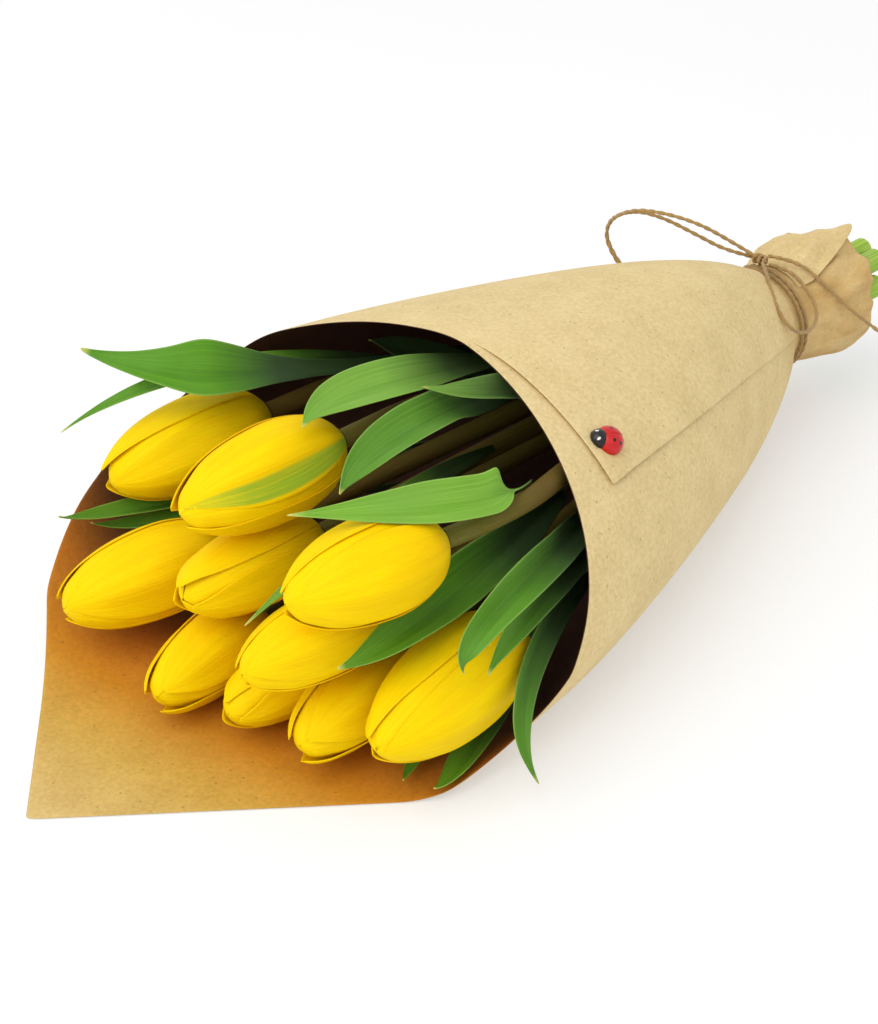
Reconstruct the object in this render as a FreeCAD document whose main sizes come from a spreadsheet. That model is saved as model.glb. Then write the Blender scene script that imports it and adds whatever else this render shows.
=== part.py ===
import FreeCAD, Part
import math
import os
from FreeCAD import Placement, Rotation, Vector

# A bunch of closed tulips rolled in a square sheet of kraft paper and tied at the neck.
# Millimetres. X runs along the bunch: flowers at -X, stem ends at +X. Z is up and the
# flat underside of the paper lies on z = 0. The origin is on that underside, half way
# along the bunch.

doc = FreeCAD.newDocument("tulip_bouquet")
sheet = doc.addObject("Spreadsheet::Sheet", "Sizes")

SIZES = [
    # paper roll
    ("paper_thick", 0.5),
    ("neck_station", 155),
    ("neck_half_length", 4),
    ("neck_centre_height", 45),
    ("tongue_reach", 380),
    ("mouth_reach", 216),
    ("crown_reach", 185),
    ("crown_height", 109),
    ("foot_reach", 42),
    ("skirt_half_width", 25),
    ("mouth_yaw", 12),
    ("sheet_turn", 4),
    ("wall_clearance", 7),
    # tulips
    ("bud_length", 62),
    ("bud_diameter", 34),
    ("bud_gap", 1),
    ("bud_reach", 250),
    ("tepal_thick", 1.0),
    ("tepal_gap", 0.4),
    ("stem_diameter", 9.6),
    ("stem_top_diameter", 7),
    ("stem_gap", 0.5),
    ("stem_neck_clearance", 0.4),
    ("leaf_thick", 0.9),
    # twine
    ("twine_diameter", 2),
    ("twine_gap", 0.5),
    ("knot_length", 9),
    # ladybug
    ("bug_length", 10.5),
    ("bug_width", 11),
    ("bug_height", 5.2),
    ("bug_head_length", 3.6),
    ("bug_heading", 37),
    ("pad_diameter", 7),
    ("pad_thick", 0.8),
]
for row, (alias, value) in enumerate(SIZES, 1):
    sheet.set("A%d" % row, alias)
    sheet.set("B%d" % row, str(value))
    sheet.setAlias("B%d" % row, alias)
doc.recompute()


def size(alias):
    return float(sheet.get(alias))


PIECES = []


def piece(obj, label):
    """Name a finished sub-part; its label is its file name."""
    obj.Label = label
    PIECES.append(obj)
    return obj


def shape_object(name, shape):
    obj = doc.addObject("Part::Feature", name)
    obj.Shape = shape
    return obj


# Values that follow from the sheet
paper = size("paper_thick")
neck_x = size("neck_station")
neck_z = size("neck_centre_height")
bud_pitch = size("bud_diameter") + size("bud_gap")
stem_pitch = size("stem_diameter") + size("stem_gap")
# four stems side by side are the widest row in the neck
neck_radius = 1.5 * stem_pitch + size("stem_diameter") / 2 + size("stem_neck_clearance") + paper


def spot(ahead, across, up):
    """A place among the buds: bud lengths ahead, bud pitches across and up from the floor."""
    return Vector(neck_x - size("bud_reach") - ahead * size("bud_length"),
                  across * bud_pitch, up * bud_pitch)


# name: bud base (ahead, across, up), yaw and dip of the bud in degrees, length factor,
# girth factor, stem place in the neck (along its row, row), roll of the tepals
TULIPS = {
    "left": ((-0.60, 1.95, 1.65), 12, 7, 1.10, 1.03, (1.0, 1), 20),
    "top": ((-0.20, 0.00, 2.40), 10, 7, 1.06, 1.00, (0.0, 1), 75),
    "low_left": ((0.10, 1.25, 0.86), 16, 7, 1.05, 1.03, (1.5, 0), 50),
    "middle": ((-0.10, 0.17, 1.31), 2, 0, 1.00, 0.92, (0.5, 0), 10),
    "top_right": ((0.08, -1.92, 2.34), 15, 6, 0.95, 1.00, (-1.0, 1), 35),
    "front": ((0.22, 0.50, 0.45), -13, 0, 0.97, 0.86, (1.0, -1), 95),
    "right_middle": ((0.18, -1.35, 1.46), 7, 4, 0.97, 0.88, (-0.5, 0), 60),
    "low_middle": ((0.00, -0.43, 0.46), -5, 0, 1.00, 0.83, (0.0, -1), 30),
    "low_right": ((0.00, -1.23, 0.58), -9, 2, 0.95, 0.88, (-1.0, -1), 85),
    "right": ((-0.37, -2.12, 1.03), -5, 6, 1.20, 1.06, (-1.5, 0), 45),
}


def bud_axis(yaw, dip):
    """Direction from the base of a bud to its tip."""
    level = math.cos(math.radians(dip))
    return Vector(-level * math.cos(math.radians(yaw)), level * math.sin(math.radians(yaw)),
                  -math.sin(math.radians(dip)))


# Paper roll: sections across X, each with a flat underside, round lower corners and an
# elliptic crown, drawn in to a circle at the neck
widest_bud = max(abs(base[1]) * bud_pitch + girth * size("bud_diameter") / 2
                 for base, yaw, dip, length, girth, slot, roll in TULIPS.values())
mouth_half_width = widest_bud + size("wall_clearance") + paper
mouth_flat = 0.6 * mouth_half_width


def section_sizes(x):
    """Half width of the flat, half width, top height and bottom height of the roll at x."""
    ahead = neck_x - size("neck_half_length") - x
    top = neck_z + neck_radius
    bottom = neck_z - neck_radius
    if ahead >= 0:
        along = ahead / size("mouth_reach")
        kept = min(along, 1.0)
        flat = 0.5 + mouth_flat * along
        half = neck_radius + (mouth_half_width - neck_radius) * (1 - (1 - kept) ** 1.35)
        high = top + (size("crown_height") - top) * (0.55 * (1 - (1 - kept) ** 5) + 0.45 * kept)
        low = bottom * max(0.0, 1 - along / 0.36) ** 3
        return flat, half, high, low
    behind = max(0.0, -ahead - 2 * size("neck_half_length"))
    along = behind / (size("foot_reach") - size("neck_half_length"))
    half = neck_radius + (size("skirt_half_width") - neck_radius) * (1 - (1 - along) ** 2)
    swell = half - neck_radius
    return 0.5 + 3 * along, half, top + 0.3 * swell, bottom - 0.8 * swell


def left_flat(x, flat):
    """The flat is narrower on the left of the tongue, where the paper curls up early."""
    along = (neck_x - size("neck_half_length") - x) / size("mouth_reach")
    curl = min(1.0, max(0.0, (along - 0.9) / 0.45))
    return flat - (flat - 0.7 * mouth_flat) * curl * curl * (3 - 2 * curl)


def side_curve(flat, half, high, low, grow):
    """One side of a section, from the end of its flat up to just short of the crown."""
    corner = half - flat + grow
    shoulder = low + half - flat
    rise = high + grow - shoulder
    points = []
    for step in range(9):
        turn = math.radians(11.25 * step)
        points.append((flat + corner * math.sin(turn), shoulder - corner * math.cos(turn)))
    for step in range(1, 5):
        turn = math.radians(18 * step)
        points.append(((half + grow) * math.cos(turn), shoulder + rise * math.sin(turn)))
    return points


def section_curve(x, grow):
    """Points of the section from the right end of its flat over the crown to the left end."""
    flat, half, high, low = section_sizes(x)
    # on the right the whole tongue lies flat, so the side steps out to leave room for it
    room = 0.55 * max(0.0, flat / mouth_flat - 1.0) ** 2
    right = [Vector(x, -y, z) for y, z in side_curve(flat, half * (1 + room), high, low, grow)]
    left = [Vector(x, y, z) for y, z in side_curve(left_flat(x, flat), half, high, low, grow)]
    return right + [Vector(x, 0, high + grow)] + left[::-1]


tongue_x = neck_x - size("tongue_reach")
foot_x = neck_x + size("foot_reach")
crown_x = neck_x - size("crown_reach")
bug_x = crown_x + 8
neck_back = neck_x + size("neck_half_length")
neck_front = neck_x - size("neck_half_length")
STATIONS = [foot_x - step * (foot_x - neck_back) / 4 for step in range(5)] + [neck_front]
spacing = 12.0
while STATIONS[-1] - spacing > bug_x + 15:
    STATIONS.append(STATIONS[-1] - spacing)
    spacing *= 1.12
STATIONS += [bug_x - 27 * step for step in range(int((bug_x - tongue_x) / 27) + 2)]


def roll_solid(name, grow, sink=0.0, stretch=0.0):
    """The roll filled solid, its surface grown by a given amount; stretch lengthens both ends."""
    places = list(STATIONS)
    places[0] += stretch
    places[-1] -= stretch
    rows = [section_curve(x, grow) for x in places]
    for row in rows:
        row[0].z -= sink
        row[-1].z -= sink
    surface = Part.BSplineSurface()
    surface.interpolate(rows)
    first, last, right, left = surface.bounds()
    faces = [surface.toShape()]
    faces.append(Part.makeRuledSurface(surface.vIso(right).toShape(), surface.vIso(left).toShape()))
    for end in (first, last):
        arch = surface.uIso(end).toShape()
        chord = Part.makeLine(arch.Vertexes[-1].Point, arch.Vertexes[0].Point)
        faces.append(Part.Face(Part.Wire([arch, chord])))
    shell = Part.makeShell(faces)
    shell.sewShape()
    return shape_object(name, Part.makeSolid(shell))


def box(name, length, width, height, placement):
    block = doc.addObject("Part::Box", name)
    block.Length = length
    block.Width = width
    block.Height = height
    block.Placement = placement
    return block


def boolean(kind, name, base, tool):
    result = doc.addObject("Part::" + kind, name)
    result.Base = base
    result.Tool = tool
    return result


FAR = 420.0
outer_roll = roll_solid("roll_outside", 0.0, sink=0.4)
inner_roll = roll_solid("roll_inside", -paper, stretch=1.0)
tube = boolean("Cut", "roll_tube", outer_roll, inner_roll)
under = box("floor_trim", 2 * FAR, 2 * FAR, 50, Placement(Vector(-FAR, -FAR, -50), Rotation()))
resting = boolean("Cut", "roll_resting", tube, under)

# the mouth leans back from the tongue to the crown, less steeply on the left than on the right
def half_mouth(name, side, lean, yaw, keep_turn, keep_place):
    """Block in front of one half of the mouth, above the part of the tongue that stays."""
    turn = Rotation(Vector(0, 0, 1), yaw) * Rotation(Vector(0, 1, 0), lean)
    corner = Vector(crown_x, 0, size("crown_height")) + turn.multVec(Vector(-FAR, -FAR, -FAR))
    block = box(name + "_block", FAR, 2 * FAR, 2 * FAR, Placement(corner, turn))
    start = Vector(-FAR, 0 if side > 0 else -FAR, -FAR)
    half = box(name + "_half", 2 * FAR, FAR, 2 * FAR, Placement(start, Rotation()))
    kept_corner = keep_place + keep_turn.multVec(Vector(-FAR, -FAR, -FAR))
    kept = box(name + "_kept", 2 * FAR, 2 * FAR, FAR, Placement(kept_corner, keep_turn))
    level = box(name + "_level", 2 * FAR, 2 * FAR, FAR, Placement(Vector(-FAR, -FAR, 1.5 - FAR), Rotation()))
    front = boolean("Common", name + "_side", block, half)
    return boolean("Cut", name, boolean("Cut", name + "_above", front, level), kept)


tongue_corner = tongue_x + 1.38 * mouth_flat
left_lean = math.degrees(math.atan2(crown_x - tongue_corner, size("crown_height")))
left_mouth = half_mouth("mouth_left", 1, left_lean, size("mouth_yaw"),
                        Rotation(Vector(1, 0, 0), 18), Vector(0, 0, 3))
right_mouth = half_mouth("mouth_right", -1, 0.46 * left_lean, -0.6 * size("mouth_yaw"),
                         Rotation(Vector(0, 1, 0), -15), Vector(tongue_corner, 0, 1.5))
opened = boolean("Cut", "roll_left_opened", resting, left_mouth)
opened = boolean("Cut", "roll_opened", opened, right_mouth)

# the square corner of the sheet is the tongue, turned a little from the line of the bunch
right_turn = Rotation(Vector(0, 0, 1), size("sheet_turn") - 135)
left_turn = Rotation(Vector(0, 0, 1), size("sheet_turn") + 45)
right_corner = Vector(tongue_x, 0, -10) + right_turn.multVec(Vector(0, -FAR / 2, 0))
left_corner = Vector(tongue_x, 0, -10) + left_turn.multVec(Vector(-FAR / 2, 0, 0))
right_trim = box("tongue_trim_right", FAR, FAR, 60, Placement(right_corner, right_turn))
left_trim = box("tongue_trim_left", FAR, FAR, 60, Placement(left_corner, left_turn))
trimmed = boolean("Cut", "roll_right_trimmed", opened, right_trim)
trimmed = boolean("Cut", "roll_trimmed", trimmed, left_trim)

# the second corner of the sheet laps over the crown as a flap
flap_outside = roll_solid("flap_outside", paper)
flap_inside = roll_solid("flap_inside", -paper / 2, stretch=1.0)
flap_layer = boolean("Cut", "flap_layer", flap_outside, flap_inside)
flap_corner = Vector(crown_x - 2, -0.785 * mouth_half_width, 0)
flap_plan = [Vector(crown_x + 1, 20, 0), Vector(crown_x + 1, -16, 0), flap_corner,
             Vector(neck_front - 6, -neck_radius - 4, 0), Vector(neck_front - 6, 12, 0)]
flap_base = doc.addObject("Part::Polygon", "flap_plan")
flap_base.Nodes = [point + Vector(0, 0, neck_z + 5) for point in flap_plan]
flap_base.Close = True
flap_prism = doc.addObject("Part::Extrusion", "flap_prism")
flap_prism.Base = flap_base
flap_prism.DirMode = "Custom"
flap_prism.Dir = Vector(0, 0, 1)
flap_prism.LengthFwd = 200
flap_prism.Solid = True
flap = boolean("Common", "flap", flap_layer, flap_prism)
wrap = boolean("Fuse", "kraft_wrap", trimmed, flap)
piece(wrap, "kraft_wrap")


# Routes of stems and twine: straight runs joined by tangent arcs
def route_wire(points, radius=None):
    """Wire through a chain of points, its corners rounded; returns the wire and its radii."""
    edges = []
    radii = []
    start = points[0]
    for before, corner, after in zip(points, points[1:], points[2:]):
        back = (before - corner).normalize()
        onward = (after - corner).normalize()
        half_turn = (math.pi - back.getAngle(onward)) / 2
        shorter = min(before.distanceToPoint(corner), after.distanceToPoint(corner))
        reach = 0.45 * shorter if radius is None else radius * math.tan(half_turn)
        bend = reach / math.tan(half_turn)
        radii.append(bend)
        first = corner + back * reach
        last = corner + onward * reach
        toward = (back + onward).normalize()
        middle = corner + toward * (bend / math.cos(half_turn) - bend)
        edges.append(Part.LineSegment(start, first).toShape())
        edges.append(Part.Arc(first, middle, last).toShape())
        start = last
    edges.append(Part.LineSegment(start, points[-1]).toShape())
    return Part.Wire(edges), radii


def facing(direction):
    """Rotation that turns the Z axis to a direction."""
    return Rotation(Vector(0, 0, 1), direction)


def section_circle(name, alias, place, direction):
    circle = doc.addObject("Part::Circle", name)
    circle.setExpression("Radius", "Sizes.%s / 2" % alias)
    circle.Placement = Placement(place, facing(direction))
    return circle


def sweep(name, wire, circles):
    spine = shape_object(name + "_route", wire)
    tube = doc.addObject("Part::Sweep", name)
    tube.Sections = circles
    tube.Spine = (spine, ["Edge%d" % (n + 1) for n in range(len(wire.Edges))])
    tube.Solid = True
    return tube


# Stems: straight and level through the neck, then fanning out to a knee behind each bud
stem_end_x = foot_x + 24
fan_x = neck_front - 16
KNEE = 28.0
STEM_LINES = {}


def stem_points(base, yaw, dip, slot):
    across, row = slot
    y = across * stem_pitch
    z = neck_z + row * stem_pitch * math.sqrt(0.75)
    bud_base = spot(*base)
    end = Vector(stem_end_x - 5 * abs(across) + 3 * row, y, z)
    return [end, Vector(fan_x, y, z), bud_base - bud_axis(yaw, dip) * KNEE, bud_base]


for name, (base, yaw, dip, length, girth, slot, roll) in TULIPS.items():
    points = stem_points(base, yaw, dip, slot)
    STEM_LINES[name] = points
    wire, radii = route_wire(points, radius=60)
    foot = section_circle("stem_foot_" + name, "stem_diameter", points[0], points[1] - points[0])
    top = section_circle("stem_top_" + name, "stem_top_diameter", points[3], points[3] - points[2])
    piece(sweep("stem_" + name, wire, [foot, top]), "stem_" + name)


# Flower heads: three outer and three inner tepals, each a curved shell cut to a pointed outline
def curve_edge(points):
    curve = Part.BSplineCurve()
    curve.interpolate(points)
    return curve.toShape()


BUD_PROFILE = [(0.13, 0.76), (0.38, 1.0), (0.66, 0.9), (0.88, 0.55), (1.0, 0.3)]
TEPAL_OUTLINE = [(0.2, 0.8), (0.45, 1.0), (0.7, 0.86), (0.88, 0.52)]


def tepal(length, radius, base_radius):
    """One tepal centred on +X, standing on z = 0."""
    thick = size("tepal_thick")
    outside = [Vector(base_radius, 0, 0)]
    outside += [Vector(share * radius, 0, rise * length) for rise, share in BUD_PROFILE]
    inside = [Vector(point.x - thick, 0, point.z) for point in outside]
    band = Part.Face(Part.Wire([curve_edge(outside), Part.makeLine(outside[-1], inside[-1]),
                                curve_edge(inside[::-1]), Part.makeLine(inside[0], outside[0])]))
    band.rotate(Vector(), Vector(0, 0, 1), -58)
    shell = band.revolve(Vector(), Vector(0, 0, 1), 116)
    right = [Vector(0, base_radius, 0)]
    right += [Vector(0, share * radius, rise * length) for rise, share in TEPAL_OUTLINE]
    right.append(Vector(0, 0, 1.0 * length))
    left = [Vector(0, -point.y, point.z) for point in right]
    leaf = Part.Face(Part.Wire([curve_edge(right), curve_edge(left[::-1]),
                                Part.makeLine(left[0], right[0])]))
    return shell.common(leaf.extrude(Vector(2 * radius, 0, 0))).Solids[0]


for name, (base, yaw, dip, length, girth, slot, roll) in TULIPS.items():
    bud_length = length * size("bud_length")
    bud_radius = girth * size("bud_diameter") / 2
    step_in = size("tepal_thick") + size("tepal_gap")
    base_radius = size("stem_top_diameter") / 2
    outer_tepal = tepal(bud_length, bud_radius, base_radius)
    inner_tepal = tepal(0.97 * bud_length, bud_radius - step_in, base_radius - step_in)
    tepals = []
    for third in range(3):
        for blank, turn in ((outer_tepal, 120 * third), (inner_tepal, 120 * third + 60)):
            copy = blank.copy()
            copy.rotate(Vector(), Vector(0, 0, 1), turn + roll)
            tepals.append(copy)
    head = shape_object("flower_head_" + name, Part.makeCompound(tepals))
    head.Placement = Placement(spot(*base), facing(bud_axis(yaw, dip)))
    piece(head, "flower_head_" + name)


def under_crown(share):
    """Height, in bud pitches, a share of the way from the top row of buds to the crown of the paper."""
    top_row = TULIPS["top"][0][2]
    return top_row + share * (size("crown_height") / bud_pitch - top_row)


# Leaves: name, tulip, x of the base on its stem, middle and tip as (ahead, across, up) places,
# blade width in mm, direction the blade faces, cup of the blade
LEAVES = [
    ("long_left", "left", 25, (-0.27, 1.65, 2.48), (0.20, 3.25, 2.45), 21, (-0.3, -0.2, 1), 0.25),
    ("far_left", "left", 0, (-0.24, 2.06, 2.37), (0.52, 2.93, 1.80), 9, (0, -0.3, 1), 0.2),
    ("under_left", "low_left", -5, (0.10, 2.15, 0.95), (0.85, 2.25, 1.34), 11, (-0.2, -0.2, 1), 0.2),
    ("under_left_low", "front", 0, (-0.05, 1.95, 0.74), (0.60, 2.34, 1.03), 10, (-0.2, -0.2, 1), 0.2),
    ("over_top", "top", 20, (-0.45, -0.05, 2.85), (0.20, -0.25, 2.92), 17, (-0.2, -0.2, 1), 0.25),
    ("over_middle", "top", 5, (-0.30, -0.70, 2.68), (0.36, -1.05, 2.65), 19, (-0.3, -0.3, 1), 0.25),
    ("crown", "top_right", 45, (-1.13, -0.95, under_crown(0.33)), (-0.65, -0.31, under_crown(0.56)), 16,
     (-0.5, -0.3, 1), 0.3),
    ("curled", "top_right", -58, (0.02, -1.98, 2.80), (0.80, -1.20, 2.84), 16, (-0.1, -0.3, 1), 0.25),
    ("right_middle", "right_middle", -15, (0.10, -1.88, 1.60), (0.82, -1.86, 1.52), 20,
     (-0.3, -0.5, 1), 0.25),
    ("right_upper", "right", 30, (-0.05, -2.56, 1.95), (0.43, -2.77, 1.58), 16, (-0.2, -0.8, 0.8), 0.25),
    ("right_lower", "right", 10, (-0.44, -2.36, 1.57), (0.24, -2.75, 1.37), 14, (-0.2, -0.8, 0.8), 0.25),
    ("over_edge", "right", -20, (-0.11, -2.66, 1.08), (0.20, -3.35, 0.42), 12, (-0.2, -1, 0.5), 0.2),
    ("floor_right", "low_right", 10, (-0.10, -2.20, 0.30), (0.52, -2.55, 0.24), 13, (0, 0, 1), 0.15),
    ("between", "middle", -5, (-0.10, -0.65, 1.88), (0.98, -0.92, 1.66), 9, (-0.2, -0.2, 1), 0.2),
    ("floor_small", "low_right", -40, (0.10, -1.80, 0.18), (0.55, -2.20, 0.16), 8, (0, 0, 1), 0.15),
    ("inside_left", "middle", 45, (-1.45, 0.95, 2.10), (-1.05, 1.20, 2.50), 14, (-0.5, -0.3, 1), 0.25),
]
BLADE_STEPS = 13
SEAT_GAP = 0.1


def stem_place(tulip, x):
    """Point on the fanning run of a stem at a given x, and the direction of that run."""
    start, end = STEM_LINES[tulip][1:3]
    share = (start.x - x) / (start.x - end.x)
    return start + (end - start) * share, (end - start).normalize()


def stem_radius(tulip, place):
    """Radius of a tapering stem at a place on its fanning run."""
    foot, fan, knee, top = STEM_LINES[tulip]
    behind = (fan - foot).Length + (place - fan).Length
    ahead = (knee - place).Length + (top - knee).Length
    taper = size("stem_top_diameter") - size("stem_diameter")
    return (size("stem_diameter") + taper * behind / (behind + ahead)) / 2


def blade_share(along):
    """Width of a leaf blade along its length, as a share of the greatest width."""
    return 0.30 + 0.70 * math.sin(math.pi * min(along / 0.9, 1.0) ** 0.8) if along < 0.45 else \
        max(0.07, math.cos(math.pi / 2 * ((along - 0.45) / 0.55) ** 1.5))


def leaf_blade(tulip, base_x, middle, tip, width, normal):
    """Loft of crescents along a curve from the stem through a middle place to the tip."""
    on_stem, run = stem_place(tulip, base_x)
    middle = spot(*middle)
    tip = spot(*tip)
    normal = Vector(*normal)
    leaving = middle - on_stem
    outward = (leaving - run * leaving.dot(run)).normalize()
    faces_out = outward.dot(normal) > 0
    clasp = outward if faces_out else outward * -1
    seat = SEAT_GAP + (0 if faces_out else size("leaf_thick"))
    base = on_stem + outward * (stem_radius(tulip, on_stem) + seat)
    control = middle * 2 - (base + tip) * 0.5
    frames = []
    for step in range(BLADE_STEPS + 1):
        along = step / BLADE_STEPS
        place = base * (1 - along) ** 2 + control * (2 * along * (1 - along)) + tip * along ** 2
        heading = ((control - base) * (1 - along) + (tip - control) * along).normalize()
        open_share = min(1.0, along / 0.35)
        up = clasp * (1 - open_share) + normal * open_share
        up = (up - heading * up.dot(heading)).normalize()
        side = heading.cross(up)
        half = width / 2 * blade_share(along)
        frames.append((place, up, side, half))
    return frames


def leaf_solid(frames, cup):
    thick = size("leaf_thick")
    sections = []
    for place, up, side, half in frames:
        edge = up * (cup * half)
        ends = place + side * half + edge, place - side * half + edge
        body = thick * min(1.0, 0.3 + half / 5)
        under = curve_edge([ends[0], place, ends[1]])
        over = curve_edge([ends[1], place + up * body, ends[0]])
        sections.append(Part.Wire([under, over]))
    return Part.makeLoft(sections, True, True)


for name, tulip, base_x, middle, tip, width, normal, cup in LEAVES:
    frames = leaf_blade(tulip, base_x, middle, tip, width, normal)
    piece(shape_object("leaf_" + name, leaf_solid(frames, cup)), "leaf_" + name)


# Twine: two turns round the neck as one tube, on pairs of arcs for every quarter turn
twine = size("twine_diameter")
turn_radius = neck_radius + twine / 2 + 0.3
turn_pitch = twine + size("twine_gap")
TURNS = 2


def turn_point(quarters):
    angle = math.radians(90 * quarters + 70)
    x = neck_x - turn_pitch * TURNS / 2 + turn_pitch * quarters / 4
    place = Vector(x, turn_radius * math.cos(angle), neck_z + turn_radius * math.sin(angle))
    heading = Vector(turn_pitch / 4 / (math.pi / 2), -turn_radius * math.sin(angle),
                     turn_radius * math.cos(angle)).normalize()
    return place, heading


def tangent_arc(start, heading, end):
    """Arc that leaves a point along a heading and ends at another point."""
    chord = end - start
    inward = (chord - heading * chord.dot(heading)).normalize()
    radius = chord.dot(chord) / (2 * chord.dot(inward))
    centre = start + inward * radius
    middle = centre + ((start + end) * 0.5 - centre).normalize() * radius
    return Part.Arc(start, middle, end).toShape()


def arc_pair(start, leave, end, arrive):
    """Two tangent arcs between two points with given headings."""
    chord = end - start
    both = leave + arrive
    spare = 2 * (1 - leave.dot(arrive))
    reach = (-chord.dot(both) + math.sqrt(chord.dot(both) ** 2 + spare * chord.dot(chord))) / spare
    joint = (start + end + (leave - arrive) * reach) * 0.5
    return [tangent_arc(start, leave, joint), tangent_arc(end, arrive * -1, joint)]


turn_edges = []
for quarters in range(4 * TURNS):
    turn_edges += arc_pair(*turn_point(quarters), *turn_point(quarters + 1))
turns_wire = Part.Wire(turn_edges)
start, heading = turn_point(0)
turns = sweep("twine_turns", turns_wire, [section_circle("twine_turn_section", "twine_diameter", start, heading)])
piece(turns, "twine_turns")
samples = turns_wire.discretize(400)
apart = min((a - b).Length for i, a in enumerate(samples) for b in samples[i + 60:])
print("twine turns: least gap to itself %.2f mm" % (apart - twine))

# knot on top of the neck, with two loops and a tail leaving it
knot_place = Vector(neck_x, 3, neck_z + turn_radius + twine / 2 + 2.6)
knot = doc.addObject("Part::Ellipsoid", "twine_knot")
knot.setExpression("Radius2", "Sizes.knot_length / 2")
knot.setExpression("Radius3", "Sizes.knot_length / 2 - 1")
knot.setExpression("Radius1", "Sizes.knot_length / 2 - 1.8")
knot.Placement = Placement(knot_place, Rotation())
piece(knot, "twine_knot")

# routes from the knot, as steps away from the centre of the knot
ON_FLOOR = twine / 2 + 0.05 - knot_place.z
BACK_LOOP = [(-1.5, 1.5, 1.2), (-7, 11, 7), (-16, 21, 14.5), (-24, 33, 18), (-29, 45, 17.5), (-30, 56, 10.5),
             (-28.5, 61, -1), (-24, 62, -13), (-17, 68, -19), (-11, 72, -11), (-16, 68, 1), (-22, 60, 10),
             (-23.5, 49, 14), (-20, 36.5, 13.5), (-14, 23, 8), (-7, 12, 2), (1.5, 2.5, -0.6)]
FRONT_LOOP = [(-2, -2, 0.3), (-9, -9, 1.2), (-18, -19, -0.5), (-24, -28, -6), (-21, -33, -13), (-12, -33, -18),
              (-2, -31, -18.5), (4, -27, -14), (5, -19, -7), (3.5, -11, -1.5), (1.2, -3, -1.5)]
TAIL = [(3, -1, 1), (9, -11, 0.5), (14, -22, -8), (20, -32, -18.5), (31, -41, -30), (41, -51, -42), (50, -62, -53),
        (58, -74, -62), (66, -87, ON_FLOOR), (72, -101, ON_FLOOR)]


TWINE_RUNS = {}


def twine_run(label, steps):
    points = [knot_place + Vector(*step) for step in steps]
    wire, radii = route_wire(points)
    circle = section_circle(label + "_section", "twine_diameter", points[0], points[1] - points[0])
    TWINE_RUNS[label] = (wire.Length, radii)
    return piece(sweep(label, wire, [circle]), label)


twine_run("twine_back_loop", BACK_LOOP)
twine_run("twine_front_loop", FRONT_LOOP)
twine_run("twine_tail", TAIL)


# Ladybug stuck on the flap, near its corner, head toward the mouth
def flap_place(x, share):
    """Point on the outside of the flap at x, a share of the half width to the right."""
    flat, half, high, low = section_sizes(x)
    shoulder = low + half - flat
    y = -share * (half + paper)
    return Vector(x, y, shoulder + (high + paper - shoulder) * math.sqrt(1 - share ** 2))


bug_share = 0.735
bug_place = flap_place(bug_x, bug_share)
along = flap_place(bug_x - 1, bug_share) - flap_place(bug_x + 1, bug_share)
across = flap_place(bug_x, bug_share + 0.01) - flap_place(bug_x, bug_share - 0.01)
outward = across.cross(along).normalize()
if outward.z < 0:
    outward = outward * -1
bug_turn = Rotation(along, Vector(), outward, "ZXY") * Rotation(Vector(0, 0, 1), -size("bug_heading"))


def on_flap(obj, lift, ahead=0.0):
    shift = bug_turn.multVec(Vector(ahead, 0, lift))
    obj.Placement = Placement(bug_place + shift, bug_turn)


def dome(name, length, width, height):
    """Half of an ellipsoid standing on its flat side."""
    whole = doc.addObject("Part::Ellipsoid", name + "_whole")
    whole.setExpression("Radius1", height)
    whole.setExpression("Radius2", length)
    whole.setExpression("Radius3", width)
    whole.Angle1 = 0
    return whole


pad = doc.addObject("Part::Cylinder", "ladybug_pad")
pad.setExpression("Radius", "Sizes.pad_diameter / 2")
pad.setExpression("Height", "Sizes.pad_thick")
on_flap(pad, 0.1)
piece(pad, "ladybug_pad")
shell = dome("ladybug_shell", "Sizes.bug_length / 2", "Sizes.bug_width / 2", "Sizes.bug_height")
seam = doc.addObject("Part::Box", "ladybug_seam")
seam.setExpression("Length", "Sizes.bug_length")
seam.Width = 0.35
seam.setExpression("Height", "Sizes.bug_height")
seam.Placement = Placement(Vector(-size("bug_length") / 2, -0.175, size("bug_height") - 0.35), Rotation())
shell = boolean("Cut", "ladybug_shell", shell, seam)
on_flap(shell, 0.1 + size("pad_thick"))
piece(shell, "ladybug_shell")
front = dome("ladybug_front", "Sizes.bug_head_length", "Sizes.bug_width / 2 - 1.8", "Sizes.bug_height - 1.4")
keep_out = dome("ladybug_front_seat", "Sizes.bug_length / 2 + 0.05", "Sizes.bug_width / 2 + 0.05",
                "Sizes.bug_height + 0.05")
keep_out.Placement = Placement(Vector(-size("bug_length") / 2 + 1.2, 0, -0.0), Rotation())
front = boolean("Cut", "ladybug_head", front, keep_out)
on_flap(front, 0.1 + size("pad_thick"), size("bug_length") / 2 - 1.2)
piece(front, "ladybug_head")

doc.recompute()

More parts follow.
